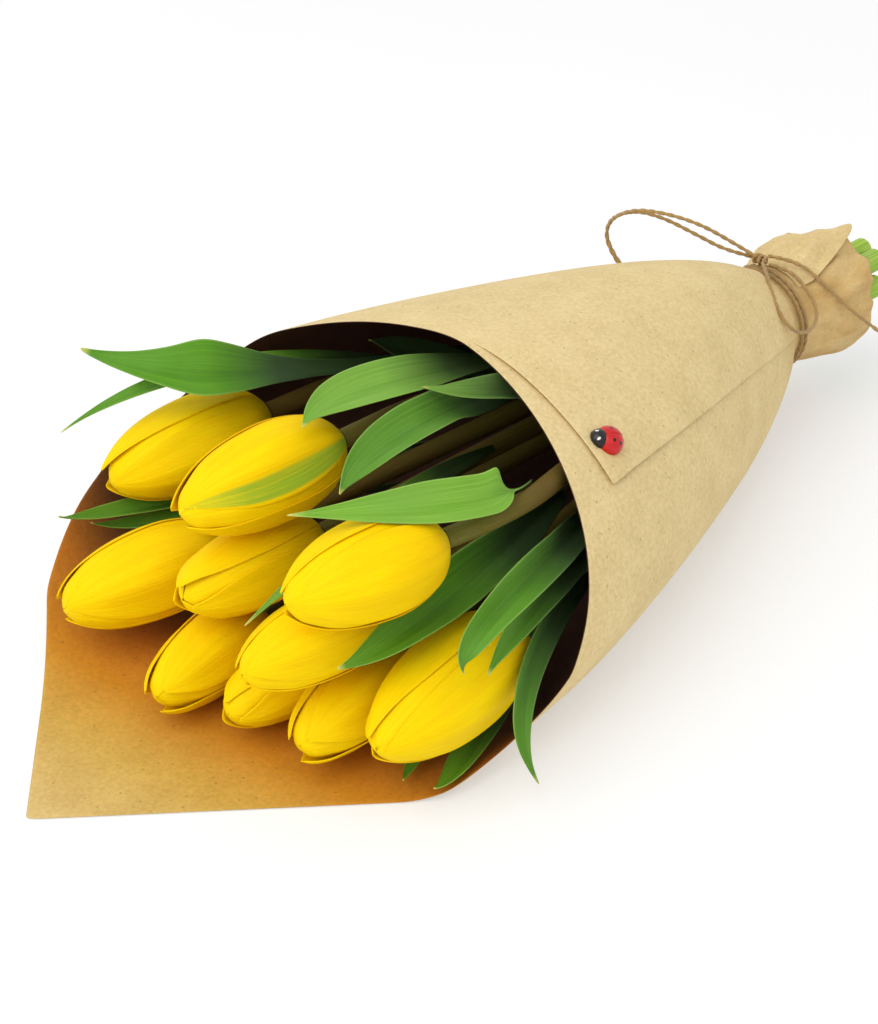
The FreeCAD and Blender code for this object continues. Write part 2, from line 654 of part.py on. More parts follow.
# Every object must have computed, and every piece must be a sound solid
for obj in doc.Objects:
    if "Invalid" in obj.State or "Error" in obj.State:
        raise RuntimeError("%s did not compute: %s" % (obj.Label, obj.State))
for label, (length, radii) in TWINE_RUNS.items():
    solid = doc.getObject(label).Shape
    print("%s: length %.0f mm, bend radii %s, volume over section x length %.3f" % (
        label, length, " ".join("%.1f" % radius for radius in radii),
        solid.Volume / (math.pi * twine ** 2 / 4 * length)))
os.makedirs("parts", exist_ok=True)
for obj in PIECES:
    shape = obj.Shape
    if shape.isNull() or not shape.isValid() or not shape.Solids:
        raise RuntimeError("%s is not a sound solid" % obj.Label)
    shape.exportStep("parts/%s.step" % obj.Label)
    bounds = shape.BoundBox
    print("%-30s %2d solid %9.1f mm3  x %.1f..%.1f y %.1f..%.1f z %.1f..%.1f" % (
        obj.Label, len(shape.Solids), shape.Volume, bounds.XMin, bounds.XMax, bounds.YMin,
        bounds.YMax, bounds.ZMin, bounds.ZMax))
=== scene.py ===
import math
import random

import bpy
from mathutils import Matrix, Vector, noise


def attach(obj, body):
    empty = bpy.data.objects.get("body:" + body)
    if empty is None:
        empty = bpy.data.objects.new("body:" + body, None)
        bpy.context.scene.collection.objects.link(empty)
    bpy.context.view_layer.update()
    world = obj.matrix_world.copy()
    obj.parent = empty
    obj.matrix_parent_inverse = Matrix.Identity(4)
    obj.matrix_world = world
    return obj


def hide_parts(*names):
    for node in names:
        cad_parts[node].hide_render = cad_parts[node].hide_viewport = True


# A bunch of closed yellow tulips rolled in kraft paper, lying on a white floor.
# The sizes below repeat those of the CAD model, in millimetres; MM turns them to metres.
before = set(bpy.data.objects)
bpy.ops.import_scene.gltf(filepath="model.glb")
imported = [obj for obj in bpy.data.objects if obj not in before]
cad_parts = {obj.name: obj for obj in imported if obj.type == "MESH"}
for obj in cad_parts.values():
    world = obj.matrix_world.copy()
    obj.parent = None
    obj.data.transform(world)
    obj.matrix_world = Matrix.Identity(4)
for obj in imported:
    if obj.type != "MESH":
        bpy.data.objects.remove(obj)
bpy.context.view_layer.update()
MM = 0.001


# Camera: the photograph's viewpoint, looking down on the mouth of the roll
camera_data = bpy.data.cameras.new("camera")
camera_data.sensor_fit = "VERTICAL"
camera_data.sensor_height = 36
camera_data.lens = 77.34
camera = bpy.data.objects.new("camera", camera_data)
camera.location = (-0.520, -0.4845, 0.462)
camera.rotation_euler = Vector((0.5997, 0.5997, -0.5299)).to_track_quat("-Z", "Y").to_euler()
bpy.context.collection.objects.link(camera)
bpy.context.scene.camera = camera


# Small helpers
def smooth(low, high, value):
    """0 at low, 1 at high and a smooth step between them."""
    share = min(1.0, max(0.0, (value - low) / (high - low)))
    return share * share * (3 - 2 * share)


def curve_value(table, at):
    """Value of a smooth curve through (place, value) pairs."""
    places = [place for place, value in table]
    values = [value for place, value in table]
    last = len(places) - 1
    at = min(max(at, places[0]), places[-1])
    k = max(i for i in range(last) if places[i] <= at or i == 0)
    span = places[k + 1] - places[k]
    share = (at - places[k]) / span

    def slope(i):
        before, after = max(i - 1, 0), min(i + 1, last)
        return (values[after] - values[before]) / (places[after] - places[before])

    start, end = values[k], values[k + 1]
    a, b = slope(k) * span, slope(k + 1) * span
    return (start * (1 + 2 * share) * (1 - share) ** 2 + a * share * (1 - share) ** 2
            + end * share ** 2 * (3 - 2 * share) + b * share ** 2 * (share - 1))


def mesh_object(name, rows, uvs=None, closed=False):
    """Grid of points in millimetres as a smooth mesh; closed joins the last column to the first."""
    width = len(rows[0])
    points = [Vector(point) * MM for row in rows for point in row]
    faces = []
    for i in range(len(rows) - 1):
        for j in range(width if closed else width - 1):
            k = (j + 1) % width
            faces.append((i * width + j, i * width + k, (i + 1) * width + k, (i + 1) * width + j))
    mesh = bpy.data.meshes.new(name)
    mesh.from_pydata(points, [], faces)
    mesh.shade_smooth()
    if uvs:
        flat = [uv for row in uvs for uv in row]
        layer = mesh.uv_layers.new(name="UVMap")
        for loop in mesh.loops:
            layer.data[loop.index].uv = flat[loop.vertex_index]
    obj = bpy.data.objects.new(name, mesh)
    bpy.context.collection.objects.link(obj)
    return obj


def joined(name, parts):
    """Several objects as one."""
    with bpy.context.temp_override(active_object=parts[0], selected_editable_objects=parts):
        bpy.ops.object.join()
    parts[0].name = name
    parts[0].data.name = name
    return parts[0]


def thicken(obj, thick, offset=-1.0, far_slot=0):
    """Give a surface a thickness and one subdivision; far_slot is the other face's material."""
    solid = obj.modifiers.new("thickness", "SOLIDIFY")
    solid.thickness = thick * MM
    solid.offset = offset
    solid.material_offset = far_slot
    rounding = obj.modifiers.new("rounding", "SUBSURF")
    rounding.levels = 1
    rounding.render_levels = 1


def place(obj, body, slot, *nodes):
    """Put a finished piece on its body in the place of CAD nodes."""
    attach(obj, body)
    if nodes:
        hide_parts(*nodes)


# Materials: one function each, on a few node helpers
def new_material(name):
    material = bpy.data.materials.new(name)
    material.use_nodes = True
    tree = material.node_tree
    return material, tree, tree.nodes["Principled BSDF"]


def feed(tree, value, socket):
    """Link an output to a socket, or set the socket to a plain value; colours are opaque."""
    if isinstance(value, bpy.types.NodeSocket):
        tree.links.new(value, socket)
    elif socket.type == "RGBA":
        socket.default_value = (*value, 1)
    else:
        socket.default_value = value


def fill(tree, node, **inputs):
    """Feed a node's sockets by name, with _ for a space."""
    for name, value in inputs.items():
        feed(tree, value, node.inputs[name.replace("_", " ")])


def add(tree, kind, **inputs):
    """New node with some of its sockets fed."""
    made = tree.nodes.new("ShaderNode" + kind)
    fill(tree, made, **inputs)
    return made


def ramp(tree, factor, *stops):
    """Colour ramp from (place, colour) stops; a colour may be a single grey level."""
    made = tree.nodes.new("ShaderNodeValToRGB")
    elements = made.color_ramp.elements
    while len(elements) < len(stops):
        elements.new(0.5)
    for element, (spot_on_ramp, colour) in zip(elements, stops):
        element.position = spot_on_ramp
        level = (colour,) * 3 if isinstance(colour, (int, float)) else colour
        element.color = (*level, 1)
    fill(tree, made, Fac=factor)
    return made.outputs["Color"]


def mix(tree, factor, first, second, blend="MIX"):
    """Mix of two colours."""
    made = tree.nodes.new("ShaderNodeMix")
    made.data_type = "RGBA"
    made.blend_type = blend
    factor_socket, first_socket, second_socket, mixed = 0, 6, 7, 2
    for index, value in ((factor_socket, factor), (first_socket, first), (second_socket, second)):
        feed(tree, value, made.inputs[index])
    return made.outputs[mixed]


def calc(tree, operation, first, second=0.0):
    made = tree.nodes.new("ShaderNodeMath")
    made.operation = operation
    for socket, value in zip(made.inputs, (first, second)):
        feed(tree, value, socket)
    return made.outputs[0]


def measure(tree, operation, vector, other=(0, 0, 0)):
    """Value of a vector operation, such as a length or a distance."""
    made = tree.nodes.new("ShaderNodeVectorMath")
    made.operation = operation
    for socket, value in zip(made.inputs, (vector, other)):
        feed(tree, value, socket)
    return made.outputs["Value"]


def coords(tree, scale=(1, 1, 1), kind="Object"):
    """Scaled coordinates of the object, or of its UV map."""
    source = tree.nodes.new("ShaderNodeTexCoord").outputs[kind]
    return add(tree, "Mapping", Vector=source, Scale=scale).outputs["Vector"]


def spread(tree, value, **limits):
    """Value brought from one range, 0 to 1 if not given, to another."""
    return add(tree, "MapRange", Value=value, **limits).outputs["Result"]


def cloudy(tree, vector, **inputs):
    """Value of a noise texture."""
    return add(tree, "TexNoise", Vector=vector, **inputs).outputs["Fac"]


def bump(tree, shader, height, strength, distance):
    made = add(tree, "Bump", Strength=strength, Distance=distance, Height=height)
    fill(tree, shader, Normal=made.outputs["Normal"])


def along_line(tree, direction, start, end):
    """0 to 1 between two distances, in millimetres, along a direction in the frame."""
    reached = measure(tree, "DOT_PRODUCT", coords(tree), direction)
    return spread(tree, reached, From_Min=start * MM, From_Max=end * MM)


def kraft_paper(name, pale, dark, shade_and_wear=1.0, inside=False):
    """Brown paper with fibres and specks, and painted shade over the gathered skirt and in its creases;
    on the inside, painted shade darkens inwards, warm where light bounces off the buds.
    """
    material, tree, shader = new_material(name)
    cloud = cloudy(tree, coords(tree), Scale=60, Detail=5, Roughness=0.6)
    grain = cloudy(tree, coords(tree), Scale=620, Detail=6, Roughness=0.65)
    along = cloudy(tree, coords(tree, (260, 1900, 1900)), Scale=1, Detail=3)
    across = cloudy(tree, coords(tree, (1900, 300, 420)), Scale=1, Detail=3)
    fibre = calc(tree, "MAXIMUM", along, across)
    tone = calc(tree, "ADD", calc(tree, "MULTIPLY", cloud, 0.35),
                calc(tree, "MULTIPLY", grain, 0.65))
    colour = ramp(tree, tone, (0.38, dark), (0.62, pale))
    light_fibre = ramp(tree, fibre, (0.62, 0.0), (0.74, 0.35))
    colour = mix(tree, light_fibre, colour, [min(1.0, 1.16 * level) for level in pale])
    specks = add(tree, "TexVoronoi", Vector=coords(tree), Scale=210, Randomness=1)
    speck = ramp(tree, specks.outputs["Distance"], (0.05, 0.55), (0.13, 0.0))
    colour = mix(tree, speck, colour, [0.45 * level for level in dark])
    crease = cloudy(tree, coords(tree, (42, 95, 95)), Scale=1, Detail=3, Roughness=0.6)
    gathered = along_line(tree, (1, 0, 0), 125, 164)
    # painted shade: the gathered skirt is darkened, most in the hollows of the crease noise
    crease_shade_level = ramp(tree, crease, (0.38, 0.72 * shade_and_wear), (0.58, 0.40 * shade_and_wear))
    crease_shade = calc(tree, "MULTIPLY", crease_shade_level, gathered)
    colour = mix(tree, crease_shade, colour, (0.74 * dark[0], 0.53 * dark[1], 0.27 * dark[2]))
    if inside:
        # painted shade inside the roll: near white at the tongue's tip, warm orange where light bounces
        # off the buds, near black deep inside; none past the neck
        depth = along_line(tree, (1, 0.15, 0), -222, -70)
        inside_shade = ramp(tree, depth, (0.0, (0.93, 0.90, 0.76)), (0.28, (0.84, 0.69, 0.27)),
                     (0.46, (0.80, 0.45, 0.05)), (0.64, (0.74, 0.34, 0.07)), (0.82, (0.24, 0.135, 0.13)),
                     (1.0, (0.14, 0.085, 0.13)))
        before_neck = calc(tree, "SUBTRACT", 1.0, along_line(tree, (1, 0, 0), 150, 170))
        colour = mix(tree, before_neck, colour, inside_shade, "MULTIPLY")
    roughness = ramp(tree, grain, (0.3, 0.62), (0.7, 0.8))
    fill(tree, shader, Base_Color=colour, Roughness=roughness, Specular_IOR_Level=0.3)
    creased = calc(tree, "MULTIPLY", calc(tree, "MULTIPLY", crease, gathered), 22.0)
    height = calc(tree, "ADD", calc(tree, "MULTIPLY", cloud, 1.5),
                  calc(tree, "ADD", calc(tree, "ADD", grain, fibre), creased))
    bump(tree, shader, height, 0.35, 0.00025)
    return material


def tepal_material(name, streak=None):
    """Silky yellow petal: faint veins along its length, greenish right at the base, and deeper orange
    near the base and along the edges as painted warm shade.
    """
    material, tree, shader = new_material(name)
    uv = add(tree, "SeparateXYZ", Vector=coords(tree, kind="UV"))
    across = calc(tree, "ABSOLUTE", calc(tree, "SUBTRACT", uv.outputs["X"], 0.5))
    veins = cloudy(tree, coords(tree, (34, 1.8, 1), "UV"), Scale=1, Detail=3, Roughness=0.5)
    blotch = cloudy(tree, coords(tree, (3, 2, 1), "UV"), Scale=1.3, Detail=3)
    # along the tepal: greenish right at the base, then painted warm shade, deepest orange near the base
    # and fading towards the tip
    colour = ramp(tree, uv.outputs["Y"], (0.0, (0.74, 0.53, 0.02)), (0.12, (0.87, 0.54, 0.001)),
                  (0.5, (0.89, 0.60, 0.001)), (1.0, (0.90, 0.64, 0.001)))
    vein = ramp(tree, veins, (0.42, 0.0), (0.64, 0.30))
    colour = mix(tree, vein, colour, (0.85, 0.46, 0.001))
    glow = ramp(tree, blotch, (0.45, 0.0), (0.7, 0.5))
    colour = mix(tree, glow, colour, (0.96, 0.70, 0.001))
    # painted warm shade: deeper orange along the tepal's edges, where the tepals lap
    colour = mix(tree, ramp(tree, across, (0.43, 0.0), (0.5, 0.3)), colour, (0.86, 0.48, 0.001))
    if streak:
        band = ramp(tree, uv.outputs["X"], (0.04, 0.0), (0.07, 1.0), (0.29, 0.9), (0.34, 0.0))
        fade = ramp(tree, uv.outputs["Y"], (0.03, 1.0), (0.7, 0.95), (1.0, 0.3))
        ragged = ramp(tree, veins, (0.3, 0.6), (0.6, 1.0))
        factor = mix(tree, 1.0, mix(tree, 1.0, band, fade, "MULTIPLY"), ragged, "MULTIPLY")
        colour = mix(tree, factor, colour, streak)
    fill(tree, shader, Base_Color=colour, Roughness=0.55, Specular_IOR_Level=0.06,
         Subsurface_Weight=0.08, Subsurface_Radius=(1.0, 0.6, 0.1), Subsurface_Scale=0.001)
    midrib = ramp(tree, across, (0.0, 0.0), (0.06, 0.5), (0.14, 0.6))
    relief = calc(tree, "ADD", calc(tree, "MULTIPLY", veins, 0.9), midrib)
    bump(tree, shader, relief, 0.45, 0.0006)
    return material


def leaf_material(name, main, pale, shade=(-88, -58)):
    """Tulip leaf: parallel veins, a faint bloom, paler edges, a yellowed tip and painted shade darkening
    it towards its base.
    """
    material, tree, shader = new_material(name)
    uv = add(tree, "SeparateXYZ", Vector=coords(tree, kind="UV"))
    across = calc(tree, "ABSOLUTE", calc(tree, "SUBTRACT", uv.outputs["X"], 0.5))
    veins = cloudy(tree, coords(tree, (44, 1.4, 1), "UV"), Scale=1, Detail=3, Roughness=0.6)
    bands = cloudy(tree, coords(tree, (5, 1.2, 1), "UV"), Scale=1, Detail=2)
    bloom = cloudy(tree, coords(tree), Scale=45, Detail=4)
    tone = calc(tree, "ADD", calc(tree, "MULTIPLY", veins, 0.45),
                calc(tree, "MULTIPLY", bands, 0.55))
    colour = mix(tree, ramp(tree, tone, (0.38, 0.0), (0.62, 0.8)), main, pale)
    bloomed = ramp(tree, bloom, (0.45, 0.0), (0.75, 0.3))
    colour = mix(tree, bloomed, colour, (0.16, 0.33, 0.06))
    edge = ramp(tree, across, (0.455, 0.0), (0.5, 0.45))
    colour = mix(tree, edge, colour, (0.34, 0.50, 0.12))
    tip = ramp(tree, uv.outputs["Y"], (0.95, 0.0), (1.0, 1.0))
    colour = mix(tree, tip, colour, (0.62, 0.60, 0.16))
    # painted shade: near black deeper into the roll, along MOUTH_NORMAL between the two distances in
    # shade
    base_shade = calc(tree, "MULTIPLY", along_line(tree, MOUTH_NORMAL, *shade), 0.82)
    colour = mix(tree, base_shade, colour, (0.020, 0.024, 0.022))
    fill(tree, shader, Base_Color=colour, Roughness=0.5, Specular_IOR_Level=0.16,
         Subsurface_Weight=0.12, Subsurface_Radius=(0.4, 1.0, 0.15), Subsurface_Scale=0.002)
    bump(tree, shader, tone, 0.5, 0.0006)
    return material


def stem_material():
    """Stem with fine streaks, darkened brown by painted shade inside the roll and green at the cut end.
    """
    material, tree, shader = new_material("tulip_stem")
    streaks = cloudy(tree, coords(tree, (14, 1300, 1300)), Scale=1, Detail=3)
    patches = cloudy(tree, coords(tree), Scale=70, Detail=3)
    colour = ramp(tree, streaks, (0.35, (0.24, 0.42, 0.04)), (0.65, (0.42, 0.60, 0.10)))
    patched = ramp(tree, patches, (0.45, 0.0), (0.7, 0.4))
    colour = mix(tree, patched, colour, (0.44, 0.55, 0.20))
    towards_foot = along_line(tree, (1, 0, 0), -95, 210)
    # painted shade: brown inside the roll, fading out towards the green cut end
    roll_shade = ramp(tree, towards_foot, (0.0, 0.82), (0.12, 0.96), (0.6, 0.85), (0.93, 0.0))
    colour = mix(tree, roll_shade, colour, (0.115, 0.062, 0.014))
    fill(tree, shader, Base_Color=colour, Roughness=0.55, Specular_IOR_Level=0.08,
         Subsurface_Weight=0.1, Subsurface_Scale=0.002)
    bump(tree, shader, streaks, 0.4, 0.0004)
    return material


def jute_material():
    """Dull brown twine with pale and dark fibres along the strands."""
    material, tree, shader = new_material("jute_twine")
    fibres = cloudy(tree, coords(tree, (7, 160, 1), "UV"), Scale=1, Detail=4, Roughness=0.7)
    patches = cloudy(tree, coords(tree), Scale=130, Detail=4)
    colour = ramp(tree, fibres, (0.3, (0.24, 0.125, 0.03)), (0.52, (0.44, 0.265, 0.075)),
                  (0.72, (0.62, 0.44, 0.17)))
    patched = ramp(tree, patches, (0.45, 0.0), (0.7, 0.45))
    colour = mix(tree, patched, colour, (0.30, 0.18, 0.07))
    fill(tree, shader, Base_Color=colour, Roughness=0.85, Sheen_Weight=0.3)
    bump(tree, shader, fibres, 0.8, 0.0003)
    return material


def spotted_paint(name, base, spot_colour, spots):
    """Glossy paint on wood with round spots, each (x, y, radius) in millimetres seen from above."""
    material, tree, shader = new_material(name)
    flat = coords(tree, (1, 1, 0))
    shade_and_wear = cloudy(tree, coords(tree), Scale=900, Detail=4)
    nearest = None
    for x, y, radius in spots:
        away = measure(tree, "DISTANCE", flat, (x * MM, y * MM, 0))
        edge = calc(tree, "SUBTRACT", away, radius * MM)
        nearest = edge if nearest is None else calc(tree, "MINIMUM", nearest, edge)
    ragged = calc(tree, "ADD", nearest, calc(tree, "MULTIPLY", shade_and_wear, 0.0001))
    inside = spread(tree, ragged, From_Min=0.0001, From_Max=0.0)
    tint = ramp(tree, shade_and_wear, (0.3, [0.8 * level for level in base]), (0.7, base))
    fill(tree, shader, Base_Color=mix(tree, inside, tint, spot_colour), Roughness=0.3,
         Specular_IOR_Level=0.2, Coat_Weight=0.35, Coat_Roughness=0.06)
    bump(tree, shader, shade_and_wear, 0.15, 0.0001)
    return material


def pad_material():
    """Whitish foam of the sticky pad."""
    material, tree, shader = new_material("adhesive_pad")
    foam = add(tree, "TexVoronoi", Vector=coords(tree), Scale=2500)
    colour = ramp(tree, foam.outputs["Distance"], (0.1, 0.55), (0.6, 0.85))
    fill(tree, shader, Base_Color=colour, Roughness=0.8)
    bump(tree, shader, foam.outputs["Distance"], 0.4, 0.0002)
    return material


# direction into the roll from its open mouth, along which painted shade darkens the leaves towards their
# base
MOUTH_NORMAL = (0.85, -0.15, -0.35)
KRAFT = ((0.785, 0.62, 0.312), (0.64, 0.485, 0.218))
PAPER_OUT = kraft_paper("kraft_outside", *KRAFT)
# the loose corner layer gets less of the painted crease shade
PAPER_CORNER = kraft_paper("kraft_corner", *KRAFT, shade_and_wear=0.3)
# the inside is the same kraft, given darker and warmer colours as painted shade and warm light bounced
# off the buds
PAPER_IN = kraft_paper("kraft_inside", (0.74, 0.56, 0.26), (0.60, 0.43, 0.17), inside=True)
TEPAL = tepal_material("tulip_tepal")
TEPAL_STREAKED = tepal_material("tulip_tepal_streaked", streak=(0.24, 0.44, 0.03))
# LEAF_PALE and LEAF_LIT are the lighter copies, for leaves in the light, and LEAF_DEEP and LEAF_LONG the
# darker ones, for leaves in shade: painted light and shade
LEAF_PALE = leaf_material("tulip_leaf_pale", (0.13, 0.31, 0.020), (0.27, 0.50, 0.075))
LEAF_DEEP = leaf_material("tulip_leaf_deep", (0.062, 0.19, 0.008), (0.15, 0.35, 0.028))
LEAF_LONG = leaf_material("tulip_leaf_long", (0.055, 0.18, 0.006), (0.12, 0.33, 0.014),
                          shade=(-116, -94))
LEAF_LIT = leaf_material("tulip_leaf_lit", (0.14, 0.33, 0.020), (0.28, 0.51, 0.075), shade=(-86, -70))
STEM = stem_material()
JUTE = jute_material()


# Twine: routes as steps from the knot, as in the CAD model; the end of the back loop follows the photo
KNOT = Vector((155, 3, 70.75))
TWINE = 2.0
NECK = Vector((155, 0, 45))
NECK_RADIUS = 20.85
ON_FLOOR = TWINE / 2 + 0.05 - KNOT.z
BACK_LOOP = [(-1.5, 1.5, 1.2), (-7, 11, 7), (-16, 21, 14.5), (-24, 33, 18), (-29, 45, 17.5),
             (-30, 56, 10.5), (-28, 61, 0.5), (-28, 56.5, -7), (-24, 53, -15), (-16, 58.5, -19.5),
             (-16, 66.5, -13.5), (-16.5, 70.5, -5.5), (-16, 68, 2.5), (-23.5, 49, 14), (-20, 36.5, 13.5),
             (-14, 23, 8), (-7, 12, 2), (1.5, 2.5, -0.6)]
FRONT_LOOP = [(-2, -2, 0.3), (-9, -9, 1.2), (-18, -19, -0.5), (-24, -28, -6), (-21, -33, -13),
              (-12, -33, -18), (-2, -31, -18.5), (4, -27, -14), (5, -19, -7), (3.5, -11, -1.5),
              (1.2, -3, -1.5)]
TAIL = [(3, -1, 1), (9, -11, 0.5), (14, -22, -8), (20, -32, -18.5), (31, -41, -30), (41, -51, -42),
        (50, -62, -53), (58, -74, -62), (66, -87, ON_FLOOR), (72, -101, ON_FLOOR)]
KNOT_CORE = [(-2, -3.3, 0.4), (0.6, -1.2, 0.4), (-0.6, 1.2, -0.2), (1.6, 3.4, 0.2)]
PLY_RADIUS = 0.29 * TWINE
PLY_OFFSET = 0.14 * TWINE
PLY_TURNS_PER_MM = 1 / 8
PLY_STEP = 0.55


def spline_points(name, points, cyclic=False):
    """Points along the smooth line that a chain of control points gives, in millimetres."""
    curve = bpy.data.curves.new(name, "CURVE")
    curve.dimensions = "3D"
    curve.resolution_u = 16
    spline = curve.splines.new("NURBS")
    spline.points.add(len(points) - 1)
    for control, point in zip(spline.points, points):
        control.co = (*point, 1)
    spline.order_u = 3
    spline.use_endpoint_u = not cyclic
    spline.use_cyclic_u = cyclic
    holder = bpy.data.objects.new(name, curve)
    mesh = bpy.data.meshes.new_from_object(holder)
    line = [vertex.co.copy() for vertex in mesh.vertices]
    bpy.data.objects.remove(holder)
    bpy.data.curves.remove(curve)
    bpy.data.meshes.remove(mesh)
    return line


def even_points(line, step):
    """The same line with points at even steps."""
    result = [line[0]]
    carried = 0.0
    for a, b in zip(line, line[1:]):
        span = (b - a).length
        while span > 0 and carried + span >= step:
            a = a.lerp(b, (step - carried) / span)
            result.append(a)
            span = (b - a).length
            carried = 0.0
        carried += span
    if (line[-1] - result[-1]).length > step / 4:
        result.append(line[-1])
    return result


def strand_rows(line, phase):
    """Rows of points round one strand that winds about a line."""
    sides = 8
    rows, uvs = [], []
    side = (line[1] - line[0]).orthogonal().normalized()
    travelled = 0.0
    for i, point in enumerate(line):
        heading = (line[min(i + 1, len(line) - 1)] - line[max(i - 1, 0)]).normalized()
        side = (side - heading * side.dot(heading)).normalized()
        other = heading.cross(side)
        travelled += (point - line[i - 1]).length if i else 0.0
        angle = phase + 2 * math.pi * PLY_TURNS_PER_MM * travelled
        centre = point + (side * math.cos(angle) + other * math.sin(angle)) * PLY_OFFSET
        at_end = i in (0, len(line) - 1)
        thick = PLY_RADIUS * (0.55 if at_end else 1.0)
        thick *= 1 + 0.10 * noise.noise(centre * 0.35)
        row = []
        for k in range(sides):
            turn = 2 * math.pi * k / sides + angle
            row.append(centre + (side * math.cos(turn) + other * math.sin(turn)) * thick)
        rows.append(row)
        uvs.append([(k / sides, travelled * 0.02) for k in range(sides)])
    return rows, uvs


def twine_object(name, line):
    """Two-ply twine along a line: two strands wound about each other."""
    line = even_points(line, PLY_STEP)
    strands = []
    for ply in range(2):
        rows, uvs = strand_rows(line, math.pi * ply)
        strands.append(mesh_object("%s_ply_%d" % (name, ply), rows, uvs, closed=True))
    twine = joined(name, strands)
    twine.data.materials.append(JUTE)
    return twine, line


def from_knot(steps):
    return [KNOT + Vector(step) for step in steps]


def free_twine(name, steps):
    """A loop or tail that leaves the knot."""
    line = spline_points(name, from_knot(steps))
    twine, line = twine_object(name + "_strands", line)
    place(twine, "wrap", "jute_twine", name)


free_twine("twine_back_loop", BACK_LOOP)
free_twine("twine_front_loop", FRONT_LOOP)
free_twine("twine_tail", TAIL)


def turns_object():
    """Two turns round the neck, each half a pitch to one side."""
    steps_per_turn = 72
    radius = NECK_RADIUS + TWINE / 2 + 0.3
    line = []
    for step in range(2 * steps_per_turn + 1):
        angle = math.radians(70 + 360 / steps_per_turn * step)
        shift = 2.5 * (step / steps_per_turn - 1)
        line.append(NECK + Vector((shift, radius * math.cos(angle), radius * math.sin(angle))))
    return twine_object("twine_turns_strands", line)[0]


place(turns_object(), "wrap", "jute_twine", "twine_turns")


def knot_object():
    """Tight knot: three short wraps of twine over a crossing core."""
    parts = []
    for wrap_round, (shift, lean) in enumerate(((-1.9, 0.25), (0.0, -0.1), (1.9, -0.35))):
        ring = []
        for step in range(10):
            angle = 2 * math.pi * step / 10
            ring.append(KNOT + Vector((1.75 * math.cos(angle), shift + lean * 3 * math.cos(angle),
                                       1.7 * math.sin(angle))))
        line = spline_points("knot_ring", ring, cyclic=True)
        part, _ = twine_object("knot_ring_%d" % wrap_round, line + line[:2])
        parts.append(part)
    core, _ = twine_object("knot_core", spline_points("knot_core", from_knot(KNOT_CORE)))
    return joined("twine_knot_strands", parts + [core])


place(knot_object(), "wrap", "jute_twine", "twine_knot")


# Paper roll: the CAD model's sections, with an even grid, gathered folds and a real lapping flap
NECK_BACK = 159.0
NECK_FRONT = 151.0
FOOT_X = 197.0
FOOT_RADIUS = 25.0
TONGUE_X = -225.0
CROWN_X = -30.0
CROWN_HEIGHT = 109.0
MOUTH_REACH = 216.0
MOUTH_HALF = 99.72
MOUTH_FLAT = 0.6 * MOUTH_HALF
# x where the sides of the tongue turn up into the roll
TURN_UP_X = TONGUE_X + 1.38 * MOUTH_FLAT
# thickness of the CAD paper, of the sheet shown and of its loose layers
PAPER = 0.5
SHEET = 0.4
LAYER = 0.3
# shares of the way up round the roll where its flat underside and the corner beside that end
FLAT_SHARE = 0.24
CORNER_SHARE = 0.48


def section_sizes(x):
    """Half width of the flat, half width, top height and bottom height of the roll at x."""
    ahead = NECK_FRONT - x
    top = NECK.z + NECK_RADIUS
    bottom = NECK.z - NECK_RADIUS
    if ahead >= 0:
        along = ahead / MOUTH_REACH
        kept = min(along, 1.0)
        half = NECK_RADIUS + (MOUTH_HALF - NECK_RADIUS) * (1 - (1 - kept) ** 1.35)
        high = top + (CROWN_HEIGHT - top) * (0.55 * (1 - (1 - kept) ** 5) + 0.45 * kept)
        return 0.5 + MOUTH_FLAT * along, half, high, bottom * max(0.0, 1 - along / 0.36) ** 3
    along = max(0.0, x - NECK_BACK) / (FOOT_X - NECK_BACK)
    swell = (FOOT_RADIUS - NECK_RADIUS) * (1 - (1 - along) ** 2)
    return 0.5 + 3 * along, NECK_RADIUS + swell, top + 0.3 * swell, bottom - 0.8 * swell


def side_flat(x, side, flat):
    """The flat ends sooner on the left of the tongue, where the paper curls up early."""
    if side < 0:
        return flat
    curl = smooth(0.9, 1.35, (NECK_FRONT - x) / MOUTH_REACH)
    return flat - (flat - 0.7 * MOUTH_FLAT) * curl


def roll_point(x, around, grow=0.0):
    """Point of the roll; around runs from 0 under the bunch to 1 at the crown, negative on the right."""
    flat, half, high, low = section_sizes(x)
    side = 1 if around >= 0 else -1
    share = abs(around)
    edge = side_flat(x, side, flat)
    if side < 0:
        half *= 1 + 0.55 * max(0.0, flat / MOUTH_FLAT - 1) ** 2
    corner = half - edge
    shoulder = low + corner
    if share < FLAT_SHARE:
        return Vector((x, side * edge * share / FLAT_SHARE, low - grow))
    if share < CORNER_SHARE:
        turn = math.pi / 2 * (share - FLAT_SHARE) / (CORNER_SHARE - FLAT_SHARE)
        reach = corner + grow
        return Vector((x, side * (edge + reach * math.sin(turn)), shoulder - reach * math.cos(turn)))
    turn = math.pi / 2 * (share - CORNER_SHARE) / (1 - CORNER_SHARE)
    rise = (high + grow - shoulder) * math.sin(turn)
    return Vector((x, side * (half + grow) * math.cos(turn), shoulder + rise))


# the mouth is cut by two slanting planes, one for each half
LEFT_LEAN, LEFT_YAW = math.atan2(CROWN_X - TURN_UP_X, CROWN_HEIGHT), math.radians(12)
RIGHT_LEAN, RIGHT_YAW = 0.46 * LEFT_LEAN, math.radians(-7.2)
# the edges of the tongue run back from its tip at these angles
LEFT_EDGE, RIGHT_EDGE = math.radians(49), math.radians(-41)


def mouth_distance(point, lean, yaw):
    """Distance of a point behind the slanting plane of one half of the mouth."""
    normal = Vector((math.cos(lean) * math.cos(yaw), math.cos(lean) * math.sin(yaw), -math.sin(lean)))
    return normal.dot(point - Vector((CROWN_X, 0, CROWN_HEIGHT)))


